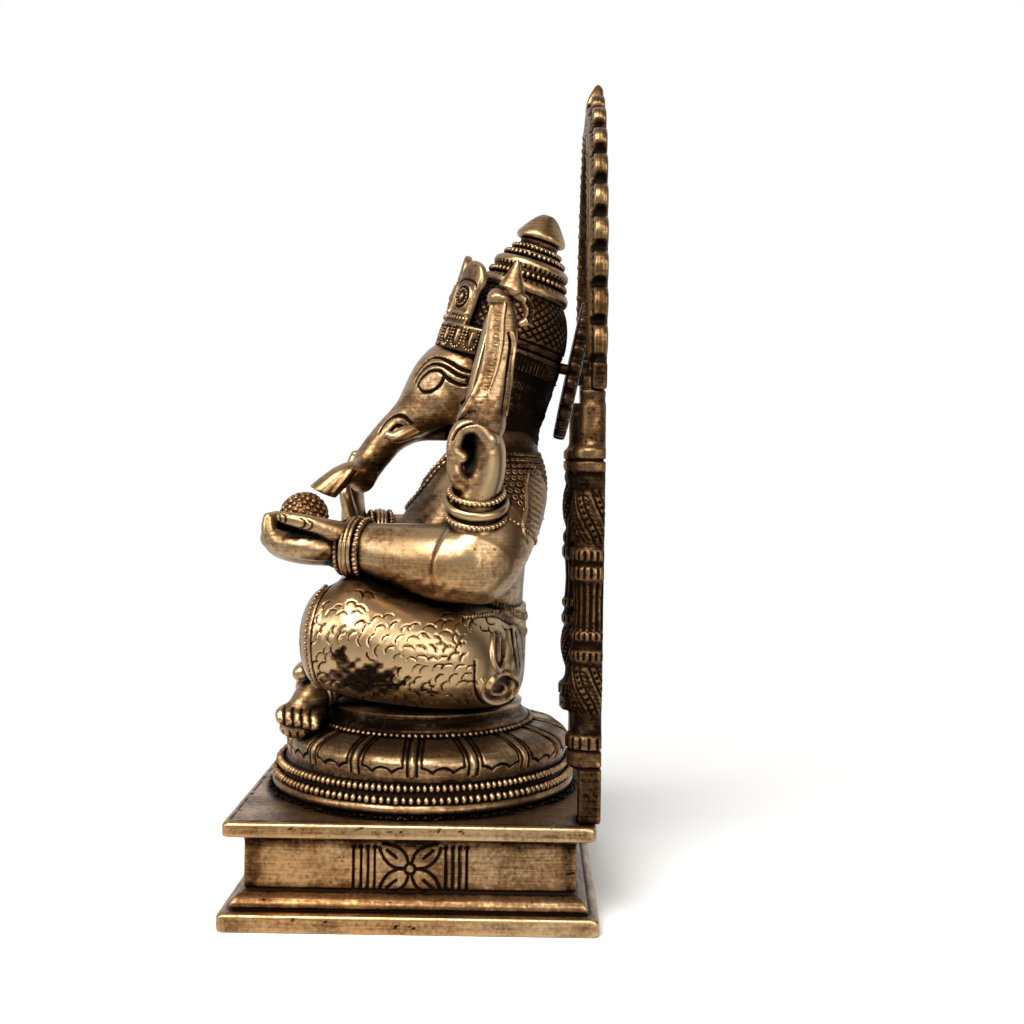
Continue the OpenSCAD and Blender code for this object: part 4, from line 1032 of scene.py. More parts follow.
# %% Necklace and chest cord
def on_chest(x, z, pitch, r):
    points = np.stack([x, np.full(len(x), BEFORE_ALL), z], -1)
    string(*torso.trace(points, (0, 1, 0), start=0), pitch, (r, r, r))


for drop, half, pitch, r in ((6.5, 13, 1.7, 0.85), (13, 16.5, 1.9, 0.95)):
    x = np.linspace(-half, half, 60)
    on_chest(x, SEAT + 71.5 - drop * (1 - (x / half) ** 2) - 3.5 * (1 - np.abs(x / half)), pitch, r)
x = np.linspace(-23, 20, 70)
on_chest(x, SEAT + 66 - (x + 23) * 0.62 - 5 * np.sin((x + 23) / 43 * np.pi), 1.3, 0.62)
print("chest strings done, bead strings so far:", len(places["bead", "idol"]))

# %% [markdown]
# ### Crown and hair
# A lattice is cut round the bulb of the crown, with bead rings and notched steps over it, and hair
# falls from its rim. Lattice lines are two families of spirals on the known profile. The hair lines are
# dropped on the head from all round, because the head is no lathe shape.

# %% Crown: lattice, rings of beads and notches
LATTICE, NOTCHES = 36, 46
closed_ring = lambda path: np.vstack([path, path[:1]])
at_turn = lambda r, a, z: np.stack([r * np.cos(a), r * np.sin(a), z], -1)
upright_cut = lambda a, steps: on_head([[r * math.cos(a), r * math.sin(a), z] for r, z in steps])
bulb_z = np.linspace(2.4, 14.2, 9)
bulb_r = np.interp(bulb_z, [2, 5, 8.6, 12, 14.6], [16.8, 16.5, 15.6, 14.2, 12.6])
lattice = []
for k in range(LATTICE):
    for hand in (1, -1):
        a = k / LATTICE * 2 * np.pi + hand * (bulb_z - 2.4) / 11.8 * math.radians(52)
        lattice.append(on_head(at_turn(bulb_r, a, bulb_z)))
crown.chase(lattice, 0.34, 0.4)
round_cuts = [ring_path((0, 0, z), (0, 0, 1), r, 120)[0] for r, z in ((16.5, -1.2), (16.7, 1.3), (17, -3.2))]
crown.chase([on_head(closed_ring(path)) for path in round_cuts], 0.4, 0.45)
head_up = on_head([0, 0, 1])[0] - on_head([0, 0, 0])[0]
for r, z, pitch, size in ((11.0, 19.7, 1.5, (0.66, 1.05, 0.95)), (8.5, 25.8, 1.4, (0.62, 0.95, 0.85)),
                          (6.8, 28.1, 1.3, (0.58, 0.85, 0.8))):
    string(*ring_path(on_head([0, 0, z])[0], head_up, r, 120), pitch, size, closed=True)
notches = [upright_cut(a, steps) for a in np.arange(NOTCHES) / NOTCHES * 2 * np.pi
           for steps in (((10.7, 21.4), (11.1, 22.2)), ((12.6, 17.6), (12.0, 18.3)))]
crown.chase(notches, 0.36, 0.5, tone=0.8)
print("lattice lines:", len(lattice), "notches:", len(notches))

# %% Hair
strands = []
strand_z = np.linspace(-3.6, -27, 12)
for a in np.radians(np.arange(-22, 203, 2.6)):
    local = at_turn(60, a + 0.02 * np.sin(strand_z), strand_z)
    inward = on_head([[-math.cos(a), -math.sin(a), 0]])[0] - HEAD_AT
    strands.append(head.trace(on_head(local), inward, start=0)[0])
head.chase(strands, 0.34, 0.35, tone=0.6)
rim_cuts = [upright_cut(a, ((17.1, -6.8), (17.1, -3.6))) for a in np.radians(np.arange(-22, 203, 4))]
crown.chase(rim_cuts, 0.42, 0.4)
head_z = lambda c: (c.v - HEAD_AT) @ (on_head([0, 0, 1])[0] - HEAD_AT)
head_y = lambda c: (c.v - HEAD_AT) @ (on_head([0, 1, 0])[0] - HEAD_AT)
crown.darken(0.42 * smooth(14.4, 13.6, head_z(crown)))
# Hair is darker than the skin, and darker still towards the back, where the extra dark is painted shadow of the
# wheel.
hair = smooth(-2, -5, head_z(head)) * smooth(-4, 0, head_y(head)) * smooth(-30, -26, head_z(head))
head.darken((0.2 + 0.32 * smooth(4, 12, head_y(head))) * hair)
print("strands of hair:", len(strands))

# %% [markdown]
# ### Diadem
# The band over the brow has three round lobes with a jewel each, a row of beads and a fringe of small
# loops. All of it is drawn flat, as a turn round the brow and a height, and then rolled on a cylinder
# of the diadem's own radius, as a strip of wax would be.

# %% Diadem: bands, beads and fringe
BROW_R, JEWEL_Z, LOOP_HALF = 19.55, 8.0, 2.0


def on_band(turn_deg, z, r=BROW_R):
    a = np.radians(np.asarray(turn_deg, float) - 90)
    return on_head(at_turn(r, a, np.broadcast_to(z, a.shape)))


def band_way(turn_deg):
    a = np.radians(np.asarray(turn_deg, float))
    return on_head(np.stack([np.sin(a), -np.cos(a), 0 * a], -1)) - HEAD_AT


diadem = castings["diadem"]
diadem.darken(0.23 + 0.36 * smooth(0.4, -0.4, head_z(diadem)))
for z in (0.1, 3.6):
    diadem.chase([on_band(np.linspace(-84, 84, 120), z)], 0.6, -0.4, tone=-1)
turns = np.linspace(-51, 51, 90)
string(on_band(turns, 1.9), band_way(turns), 1.25, (0.5, 0.75, 0.55))
s = np.linspace(0, 1, 30)
straight = LOOP_HALF + 0 * s[:8]
loop_u = np.concatenate([-straight, -LOOP_HALF * np.cos(s * np.pi), straight])
loop_z = np.concatenate([np.linspace(-0.5, -4, 8), -4 - 2.3 * np.sin(s * np.pi), np.linspace(-4, -0.5, 8)])
for turn_deg in np.arange(-77, 78, 15.4):
    turns = turn_deg + np.degrees(loop_u / BROW_R)
    string(on_band(turns, loop_z, BROW_R - 0.05), band_way(turns), 0.85, (0.42, 0.5, 0.5))
    drop = on_band(np.full(3, turn_deg), np.array([-1.4, -2.8, -4.4]))
    diadem.chase([drop], [0.5, 0.8, 0.6], -0.6, tone=-1)
print("diadem banded and fringed")

# %% Diadem: jewels
q = np.linspace(0, 2 * np.pi, 40)
for turn_deg in (-36, 0, 36):
    circle = lambda r, q: (turn_deg + np.degrees(r * np.cos(q) / BROW_R), JEWEL_Z + r * np.sin(q))
    turns, z = circle(2.3, q[:-1])
    string(on_band(turns, z), band_way(turns), 1.05, (0.45, 0.5, 0.5), closed=True)
    string(on_band(turn_deg + np.array([-0.1, 0.1]), JEWEL_Z, BROW_R - 0.1), band_way(np.full(2, turn_deg)),
           9, (1.0, 1.3, 0.9))
    diadem.chase([on_band(*circle(3.6, q))], 0.4, -0.4, tone=-1)
    diadem.chase([on_band(*circle(2.95, q))], 0.3, 0.4)
    arc = on_band(turn_deg + np.degrees(4.6 * np.cos(s * np.pi) / BROW_R), 11.4 + 1.8 * np.sin(s * np.pi))
    diadem.chase([arc], 0.35, 0.4)
print("three jewels on the diadem")

# %% [markdown]
# ## Engraved plinth
# In the middle of each wall a four-petalled flower is cut between upright lines that end in a
# punched dot. On the front wall the flower stands proud instead, and its lines have no dots. It is
# drawn flat and turned to each wall. A picture of it would do from afar, but cut lines catch the light.

# %% Plinth panels
WALLS = {"left": 0, "back": 90, "right": 180, "front": 270}
WALL_OUT, PANEL_Z, FRONT_PANEL_Z = 43.0, 15.2, 16


def petals(tip, wide):
    lines = []
    s = np.linspace(0.16, 1, 9)
    swell = (wide * np.sin(np.pi * np.clip(s - 0.08, 0, 1) ** 0.85) ** 0.8)[:, None]
    for sx in (1, -1):
        for sz in (1, -1):
            mid = np.stack([s * tip[0] * sx, s * tip[1] * sz], -1)
            side = unit(np.array([-tip[1] * sz, tip[0] * sx])) * swell
            lines += [mid + side, mid - side, mid[3:7]]
    return lines


def on_wall(wall, u, z, out=WALL_OUT):
    """Panel drawings are u to the right as one faces the wall."""
    turn = math.radians(WALLS[wall])
    c, s = math.cos(turn), math.sin(turn)
    x, y = np.full(np.shape(u), out), np.asarray(u, float)
    return np.stack([c * x - s * y, s * x + c * y, np.broadcast_to(z, np.shape(u)).astype(float)], -1)


q = np.linspace(0, 2 * np.pi, 21)
places_of_lines = [s * x for s in (1, -1) for x in (9.2, 11, 12.8, 14.6)]
for wall in ("left", "back", "right"):
    flower = [on_wall(wall, p[:, 0], PANEL_Z + p[:, 1]) for p in petals((7.5, 6.1), 2.5)]
    boss = on_wall(wall, 1.35 * np.cos(q), PANEL_Z + 1.35 * np.sin(q))
    uprights = [on_wall(wall, x + np.array([0, 0.1, 0]), np.array([10.2, 15, 20.6])) for x in places_of_lines]
    dots = [on_wall(wall, x + np.array([0, 0.05]), np.array([20.8, 20.85])) for x in places_of_lines]
    ends = [on_wall(wall, np.full(3, s * 39.6), np.array([10.2, 15, 21.4])) for s in (1, -1)]
    plinth.chase([*flower, boss], 0.46, 0.5)
    plinth.chase(uprights, [0.42, 0.36], 0.5)
    plinth.chase(dots, 0.72, 0.6)
    plinth.chase(ends, 0.3, 0.2, tone=0.35)
proud = [on_wall("front", p[:, 0], FRONT_PANEL_Z + p[:, 1], 43.2) for p in petals((6.4, 5.2), 1.9)]
plinth.chase(proud, 1.15, -0.85, tone=0)
plinth.chase([on_wall("front", np.cos(q), FRONT_PANEL_Z + np.sin(q), 43.3)], 1.0, -0.8, tone=0)
plinth.chase([on_wall("front", np.full(3, s * x), np.array([10.2, 15, 21]))
              for s in (1, -1) for x in (11, 12.8, 14.6)], 0.4, 0.5)
print("panels cut on", len(WALLS), "walls")

# %% [markdown]
# ### Wear on the plinth
# A plinth is what hands and shelves touch. A broken line runs near the edge of the top, and years of
# handling have left nicks on the slabs and walls. Both come from a fixed seed.

# %% Plinth nicks
MID_WALL, TOP, NICKS = 15.5, 28.0, 130
WALL_ORDER, ALONG_NICK = tuple(WALLS), np.array([0, 0.5, 1])
rng = np.random.default_rng(5)
dashes = []
for wall in WALL_ORDER:
    u = -45.0
    while u < 44:
        long = rng.uniform(3, 13)
        dashes.append(on_wall(wall, np.linspace(u, min(u + long, 45), 6), TOP, 46.3 + rng.uniform(-0.12, 0.12)))
        u += long + rng.uniform(0.6, 2.6)
plinth.chase(dashes, [0.15, 0.34, 0.3, 0.15], 0.22)
nicks = []
for _ in range(NICKS):
    wall = WALL_ORDER[rng.integers(4)]
    z, out = ((26.1, 47.95), (2.5, 48.95), (MID_WALL, WALL_OUT), (TOP, rng.uniform(44.8, 47)))[rng.integers(4)]
    u = rng.uniform(-44, 44)
    if z == MID_WALL and abs(u) < 17:
        continue
    a = rng.uniform(-0.5, 0.5) + (math.pi / 2 if rng.random() < 0.4 else 0)
    long = rng.uniform(0.5, 2.2)
    du, dz = long * math.cos(a), (0 if z == TOP else long * math.sin(a))
    dz = dz if z == MID_WALL else np.clip(dz, -1.2, 1.2)
    z0 = z + (0 if z == TOP else rng.uniform(-1, 1) * (4.5 if z == MID_WALL else 0.7))
    nicks.append(on_wall(wall, u + du * ALONG_NICK, z0 + dz * ALONG_NICK, out))
plinth.chase(nicks, [0.14, 0.3, 0.14], 0.2, tone=0.8)
print("plinth nicks:", len(nicks), "dashes:", len(dashes))

# %% [markdown]
# ### Brown and painted shade on the base
# The walls are darker towards their ends. Painted shade lies under the overhang of the top slab and along
# the foot of each panel, and the moulding is darkened to dull its highlight, which is painted shade as well.
# The dip has stayed round the pedestal, and painted shadow of the thighs darkens the front of its neck.
# It is laid here, where the walls are known, and the finish only reads it.

# %% Brown and painted shade on the base
x, y, z = plinth.v.T
for turn in WALLS.values():
    cx, cy = round(math.cos(math.radians(turn))), round(math.sin(math.radians(turn)))
    u, out = np.abs(x * cy - y * cx), x * cx + y * cy
    on_panel = (np.abs(out - WALL_OUT) < 0.8) * (z > 9.6) * (z < 22.6)
    strip = smooth(37.6, 40.6, u + 0.5 * np.sin(z * 1.3 + u)) * 0.34
    # Painted shade under the overhang of the top slab and along the foot of each panel.
    shade_under_slab = 0.3 * smooth(19.5, 22, z + 0.6 * np.sin(u * 0.5))
    shade_over_foot = 0.3 * smooth(12, 9.8, z + 0.5 * np.sin(u * 0.7))
    plinth.darken((strip + (shade_under_slab + shade_over_foot)) * on_panel)
# The moulding is darkened to dull its highlight: painted shade.
moulding_shade = smooth(5, 5.6, z) * smooth(9.8, 9, z)
crust = smooth(46, 43.6, np.hypot(x, y) + 0.5 * np.sin(7 * np.arctan2(y, x))) * (z > 27.9)
plinth.darken(np.maximum(0.18 * moulding_shade, 0.5 * crust))
plinth.dark += 0.13
# Painted shadow of the thighs on the neck of the pedestal, darker towards the front.
lotus_neck_shadow = smooth(PLINTH_H + 18.4, PLINTH_H + 19.4, lotus.v[:, 2]) * smooth(22, -18, lotus.v[:, 1])
lotus.dark += 0.2 + 0.5 * lotus_neck_shadow
print("share of the plinth kept brown:", round(float((plinth.dark > 0.3).mean()), 3))

# %% [markdown]
# ## Pillars
# The pillars carry notched rings, a fluted shaft and two bulbs with slanting bands of punched dots. Marks
# are given by height and turn and dropped on the shaft from outside, which suits any turned shape. A
# table of heights gives the tone: the brown dip lies thick in the necks and thin on the rings, and the
# dark just under the rings and the bulbs is painted shade.

# %% Pillars
PILLAR_X, PILLAR_Y, FLUTES, BANDS, MARKS = 40.0, 45.6, 15, 6, 240
RINGS = ((42.3, 43.8, 20), (47.6, 48.9, 20), (63.4, 65.8, 18), (68.1, 70, 18), (19.6, 22, 16))
BULBS = ((28.2, 40.2), (72.6, 85.8))
GROOVES = (93.7, 18.8, 14.3)
BROWN_AND_SHADE_AT = np.array([
    (0, 0.42), (13.4, 0.42), (14.6, 0.22), (18.4, 0.22), (19.4, 0.1), (22, 0.12), (23.2, 0.5), (27, 0.5), (30, 0.16),
    (38, 0.16), (40.8, 0.4), (42, 0.1), (44, 0.12), (44.8, 0.62), (46.8, 0.62), (47.4, 0.14), (49, 0.14),
    (50.4, 0.42), (53, 0.22), (59, 0.22), (62.2, 0.42), (63.2, 0.12), (65.8, 0.12), (66.4, 0.62), (67.6, 0.62),
    (68.1, 0.12), (70, 0.14), (71.4, 0.5), (74, 0.16), (84, 0.16), (86.2, 0.5), (90.4, 0.6), (91.2, 0.1), (98, 0.1),
    (99.4, 0.35), (102, 0.16), (110, 0.2)])


def on_pillar(name, turn_deg, z):
    """Points on a pillar, seen from outside along the turn. 0 looks out to the side, -90 to the front."""
    s = 1 if name == "left_pillar" else -1
    turn_deg, z = np.broadcast_arrays(np.asarray(turn_deg, float), z)
    a = np.radians(turn_deg)
    way = np.stack([s * np.cos(a), np.sin(a), 0 * a], -1)
    middle = np.stack([np.full(a.shape, PILLAR_X * s), np.full(a.shape, PILLAR_Y), PLINTH_H + z], -1)
    return castings[name].trace(middle + way * 12, -way, start=0)[0]


rng = np.random.default_rng(31)
s = np.linspace(0, 1, 16)
for name in ("left_pillar", "right_pillar"):
    pillar = castings[name]
    notches = [on_pillar(name, 360 * k / n, np.linspace(low, high, 3)) for low, high, n in RINGS for k in range(n)]
    pillar.chase(notches, 0.4, 0.5)
    flutes = [on_pillar(name, 360 * k / FLUTES, np.linspace(50, 61.6, 12)) for k in range(FLUTES)]
    pillar.chase(flutes, 0.55, 0.5)
    sashes, dots, strokes = [], [], []
    for low, high in BULBS:
        for k in range(BANDS):
            sweep, fall = 360 / BANDS * k + 70 * s**1.3, high - (high - low) * s
            along = lambda a: (np.interp(a, s, sweep), np.interp(a, s, fall))
            sashes += [on_pillar(name, sweep + apart, fall) for apart in (0, 24)]
            for turn, z in map(along, np.linspace(0.1, 0.9, 8)):
                dots.append(on_pillar(name, turn + np.array([11, 13]), z))
            for turn, z in map(along, np.linspace(0.12, 0.88, 9)):
                strokes.append(on_pillar(name, turn + np.array([28, 40, 54]), z + np.array([0.5, 0, -1.2])))
    pillar.chase(sashes, 0.34, 0.45)
    pillar.chase(dots, 0.5, 0.4)
    pillar.chase(strokes, [0.2, 0.3, 0.2], 0.22, tone=0.6)
    pillar.chase([on_pillar(name, np.linspace(-180, 180, 60), z) for z in GROOVES], 0.5, 0.7)
    spots = zip(rng.uniform(-150, 150, MARKS), rng.uniform(1, 108, MARKS))
    marks = [on_pillar(name, a + np.array([0, 6, 12]), z + np.array([0.5, 0, -0.5])) for a, z in spots]
    pillar.chase(marks, [0.12, 0.28, 0.12], 0.14, tone=0.5)
    # Tone by height: brown dip in the necks, and painted shade just under the rings and bulbs.
    pillar.dark = np.interp(pillar.v[:, 2] - PLINTH_H, BROWN_AND_SHADE_AT[:, 0], BROWN_AND_SHADE_AT[:, 1])
    print(name, "notches", len(notches), "dots", len(dots), "strokes", len(strokes))

# %% [markdown]
# ## Arch
# The arch is half an oval with nine flames a side. Beads run along its inner rim, each flame has a vein,
# and deep gaps part the flames. Points are placed by an angle and an offset from the middle line of the
# hoop. The flames are spaced by length along it, because equal angles would crowd them at the sides.

# %% Arch: beads and tone
hoop, top_leaf = castings["arch_hoop"], castings["arch_leaf"]
SPRING_Z, HOOP_A, HOOP_B = PLINTH_H + 120.0, 39.5, 72.0
FLAMES, FLAME_SHARE, RELIEF_AT = 9, 9.6, 3.9


def on_arch(turn_deg, offset, depth):
    """Points round the arch: offset outward from its middle line, depth forward from its back."""
    a = np.radians(np.asarray(turn_deg, float))
    return np.stack([(HOOP_A + offset) * np.cos(a), np.full(a.shape, ARCH_BACK - depth),
                     SPRING_Z + (HOOP_B + offset) * np.sin(a)], -1)


turns = np.linspace(2, 178, 400)
forward = np.tile([0.0, -1.0, 0.0], (len(turns), 1))
string(on_arch(turns, -2.9, 4.5), forward, 3.2, (1.45, 1.1, 1.1), body="arch")
inside = HOOP_A * (np.hypot(hoop.v[:, 0] / HOOP_A, (hoop.v[:, 2] - SPRING_Z) / HOOP_B) - 1)
hoop_foot = 0.4 * smooth(SPRING_Z + 0.5, SPRING_Z - 1, hoop.v[:, 2])
hoop.dark = np.maximum(hoop_foot, 0.45 * smooth(-1.6, -2.8, inside) * (hoop.v[:, 2] > SPRING_Z))
print("beads along the arch:", len(places["bead", "arch"][0][0]))

# %% Arch: flames
degrees = np.arange(0, 91)
steps = np.linalg.norm(np.diff(on_arch(degrees, 0, 0), axis=0), axis=1)
run = np.concatenate([[0], np.cumsum(steps)])
turn_at = lambda flame: np.interp(run[-1] * flame / FLAME_SHARE, run, degrees)
both_arms = lambda turns: [t for turn in turns for t in (turn, 180 - turn)]
point_at = lambda turn, offset, depth: on_arch(np.array([turn]), offset, depth)[0]
veins, rims, shaded_gaps = [], [], []
q = np.linspace(-0.35 * np.pi, 1.35 * np.pi, 15)[:, None]
over = np.linspace(0.15 * np.pi, 0.85 * np.pi, 9)[:, None]
for turn in both_arms(turn_at(np.arange(FLAMES) + 0.5)):
    here = point_at(turn, 0, RELIEF_AT)
    outward = unit(point_at(turn, 1, RELIEF_AT) - here)
    side = np.cross(outward, [0, 1, 0])
    mid = here + outward * 3.0
    veins += [mid + outward * (2.4 * np.sin(q)) + side * (2.6 * np.cos(q)),
              mid + outward * np.linspace(-0.4, 1.4, 4)[:, None]]
    rims += [here + [0, RELIEF_AT - d, 0] + outward * (2.6 + 4.6 * np.sin(over)) + side * (4.6 * np.cos(over))
             for d in (0.9, 2.0, 3.1)]
for turn in both_arms(turn_at(np.arange(FLAMES + 1))):
    for d in (0.3, 1.5, 2.7, 3.9):
        outward = unit(point_at(turn, 1, d) - point_at(turn, 0, d))
        shaded_gaps.append(on_arch(np.array([turn] * 3), 0, d) + np.outer([3.2, 4.6, 6.2], outward))
# The gaps are cut 0.8 mm deep, and their dark tone is painted shade: the shadow under each flame's scooped lower
# side.
hoop.chase(shaded_gaps, 1.5, 0.8, tone=0.8)
hoop.chase(veins, 0.42, 0.5)
hoop.chase(rims, 0.3, 0.08, tone=0.25)
tip = np.linspace(SPRING_Z + HOOP_B + 4.6, PLINTH_H + 201, 8)
top_leaf.chase([np.stack([0 * tip, np.full(8, 43.6), tip], -1)], 0.4, 0.4)
print("flames veined:", len(veins) // 2)

# %% [markdown]
# ## Modak
# The sweet in the left palm is a ball of small round grains. Its points lie on a golden-angle spiral,
# which spreads them evenly over a ball.

# %% Modak
GRAINS = 170
Casting("modak", *melt([ball_for_sweet(6.2)], 0.4, 1.0))
k = np.arange(GRAINS) + 0.5
tilt, spin = np.arccos(1 - 2 * k / GRAINS), k * math.pi * (3 - math.sqrt(5))
way = np.stack([np.sin(tilt) * np.cos(spin), np.sin(tilt) * np.sin(spin), np.cos(tilt)], -1)
grain_at = np.array([SWEET_X, SWEET_Y, SEAT + SWEET_Z]) + way * 6.15
grain_sizes = np.tile([0.82, 0.82, 0.62], (GRAINS, 1))
places["bead", "idol"].append((grain_at, way, unit(np.cross(way, [0.3, 0.2, 1])), grain_sizes))
print("grains on the sweet:", len(k))

# %% [markdown]
# ## Wheel
# A wheel stands behind the head on a pin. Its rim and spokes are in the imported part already, and three
# circles are cut in each face round the leaning axis, as on a lathe.

# %% Wheel behind the head
WHEEL_AT, WHEEL_LEAN, HALF_THICK = np.array([0, 41.6, SEAT + 95.5]), math.radians(11.4), 1.8
wheel = castings["halo_wheel"]
wheel_axis = np.array([0.0, math.cos(WHEEL_LEAN), -math.sin(WHEEL_LEAN)])
for face in (HALF_THICK, -HALF_THICK):
    circles = [ring_path(WHEEL_AT + wheel_axis * face, wheel_axis, r, 90)[0] for r in (14.6, 16.2, 17.8)]
    wheel.chase([closed_ring(path) for path in circles], 0.4, 0.4)
print("wheel", len(wheel.f), "faces")

# %% [markdown]
# ## Antique brass
# Brass with 30 to 40 parts of zinc is a warm yellow when it is fresh. Antiqued brass is dipped until
# it is brown all over and then rubbed, so raised places are bright, flats are tan with brown
# clouds, and hollows and cut lines stay almost black. The meshes say where hollows, edges and cut
# lines are, and they also carry painted shade and a painted highlight on the thighs; noise breaks that up.

# %% Colours and node helper
def linear(code):
    """From an sRGB hex code to the linear colour that the shaders want."""
    part = [int(code[i:i + 2], 16) / 255 for i in (1, 3, 5)]
    return (*(x / 12.92 if x <= 0.04045 else ((x + 0.055) / 1.055) ** 2.4 for x in part), 1.0)


def add(tree, kind, links=(), **settings):
    """Adds a node. Links are pairs of an input and its source, and in_2 sets the third input."""
    node = tree.nodes.new(kind)
    for key, value in settings.items():
        if key.startswith("in_"):
            node.inputs[int(key[3:])].default_value = value
        else:
            setattr(node, key, value)
    for socket, source in links:
        tree.links.new(source, node.inputs[socket])
    return node


def new_material(name, metallic):
    mat = bpy.data.materials.new(name)
    mat.use_nodes = True
    shader = mat.node_tree.nodes["Principled BSDF"]
    shader.inputs["Metallic"].default_value = metallic
    return mat, mat.node_tree, shader


print("white is", linear("#FFFFFF"))

# %% [markdown]
# ### How the brass is built
# One tone runs from 0, polished, to 1, full of dark wax. Hollows, cut lines and painted shade raise it,
# worn edges and a painted highlight on the thighs lower it, and five patterns break it up: 13 mm clouds,
# 1.2 mm cast grain, 0.45 mm polishing streaks that lie level, pits 2.6 mm apart and warm clouds of 34 mm.
# Real cast grain is finer than the picture can show, so it is drawn about three times too coarse. A ramp
# turns the tone into colour, and dark is duller.

# %% Antique brass
CLOUD, GRAIN, PIT_APART, WARM_CLOUD = 13 * MM, 1.2 * MM, 2.6 * MM, 34 * MM
STREAK_SCALE = (90, 90, 2200)  # 11 mm long and 0.45 mm apart
PATTERN_MEAN = 0.58
WARM = "#FFE4C4"


def brass_tone(t, where, grains, shift):
    hollow, cut, worn = (add(t, "ShaderNodeAttribute", attribute_name=k).outputs["Fac"]
                         for k in ("hollow", "cut", "worn"))
    pits = add(t, "ShaderNodeTexVoronoi", [("Vector", where)], in_2=1 / PIT_APART)
    pit = add(t, "ShaderNodeMapRange", [("Value", pits.outputs["Distance"])], in_1=0.16, in_2=0.05)
    level = add(t, "ShaderNodeMapping", [("Vector", where)], in_3=STREAK_SCALE)
    streaks = add(t, "ShaderNodeTexNoise", [("Vector", level.outputs[0])], in_2=1.0, in_3=2.0)
    clouds = add(t, "ShaderNodeTexNoise", [("Vector", where)], in_2=1 / CLOUD, in_3=3.0, in_4=0.55)
    tone = add(t, "ShaderNodeMath", [(0, clouds.outputs["Fac"])], operation="ADD", in_1=-0.5 + shift)
    for pattern, weight in ((grains, 0.85), (streaks.outputs["Fac"], 0.55), (pit.outputs["Result"], 0.3)):
        links = [(0, pattern), (2, tone.outputs[0])]
        tone = add(t, "ShaderNodeMath", links, operation="MULTIPLY_ADD", in_1=weight)
    tone = add(t, "ShaderNodeMath", [(0, tone.outputs[0])], operation="SUBTRACT", in_1=PATTERN_MEAN)
    for stored, weight in ((hollow, 1.05), (worn, -0.4)):
        links = [(0, stored), (2, tone.outputs[0])]
        tone = add(t, "ShaderNodeMath", links, operation="MULTIPLY_ADD", in_1=weight)
    return add(t, "ShaderNodeMath", [(0, cut), (1, tone.outputs[0])], operation="ADD", use_clamp=True).outputs[0]


def antique_brass(name, polished, brown, wax, shift=0.0):
    mat, t, shader = new_material(name, 1.0)
    where = add(t, "ShaderNodeTexCoord").outputs["Object"]
    grains = add(t, "ShaderNodeTexNoise", [("Vector", where)], in_2=1 / GRAIN, in_3=3.0, in_4=0.65).outputs["Fac"]
    tone = brass_tone(t, where, grains, shift)
    ramp = add(t, "ShaderNodeValToRGB", [("Fac", tone)])
    ramp.color_ramp.elements.new(0.42)
    for stop, place, code in zip(ramp.color_ramp.elements, (0.0, 0.42, 0.85), (polished, brown, wax)):
        stop.position, stop.color = place, linear(code)
    rough = add(t, "ShaderNodeMapRange", [("Value", tone)], in_3=0.3, in_4=0.6)
    glow = add(t, "ShaderNodeTexNoise", [("Vector", where)], in_2=1 / WARM_CLOUD, in_3=2.0)
    warmth = add(t, "ShaderNodeMapRange", [("Value", glow.outputs["Fac"])], in_1=0.46, in_2=0.7, in_4=0.7)
    tint = add(t, "ShaderNodeMix", [(0, warmth.outputs["Result"]), (6, ramp.outputs["Color"])], data_type="RGBA",
               blend_type="MULTIPLY", in_7=linear(WARM))
    bump = add(t, "ShaderNodeBump", [("Height", grains)])
    bump.inputs["Strength"].default_value, bump.inputs["Distance"].default_value = 0.15, 0.0002
    t.links.new(tint.outputs[2], shader.inputs["Base Color"])
    t.links.new(rough.outputs["Result"], shader.inputs["Roughness"])
    t.links.new(bump.outputs["Normal"], shader.inputs["Normal"])
    return mat


# Cast brass, dipped brown and rubbed: warm tan with a soft broad sheen, bright along ridges, brown in clouds.
brass = antique_brass("Antique brass, cast and rubbed", "#9A815F", "#5E452D", "#150D08")
# The same metal rubbed less: a tone browner, so only rings, flames and ridges catch the light.
arch_brass = antique_brass("Antique brass, lightly rubbed", "#78603F", "#4A3420", "#130B06", 0.16)
# Brass that was never rubbed keeps the whole dip: almost black and dull, with a brown glint at edges.
dark_brass = antique_brass("Antique brass, unrubbed", "#3C2C1D", "#231810", "#0A0604", 0.25)
print("brass ready:", brass.name, "|", arch_brass.name, "|", dark_brass.name)

# %% [markdown]
# ### A node tree for the repeats
# Every bead, ring and crumb is one small shape with few faces. The tree turns it to its outward
# direction and then along its string, scales it by the stored size with a little unevenness, and makes
# it real. Copying in Python would do too, but the tree keeps size, unevenness and seed as named inputs.

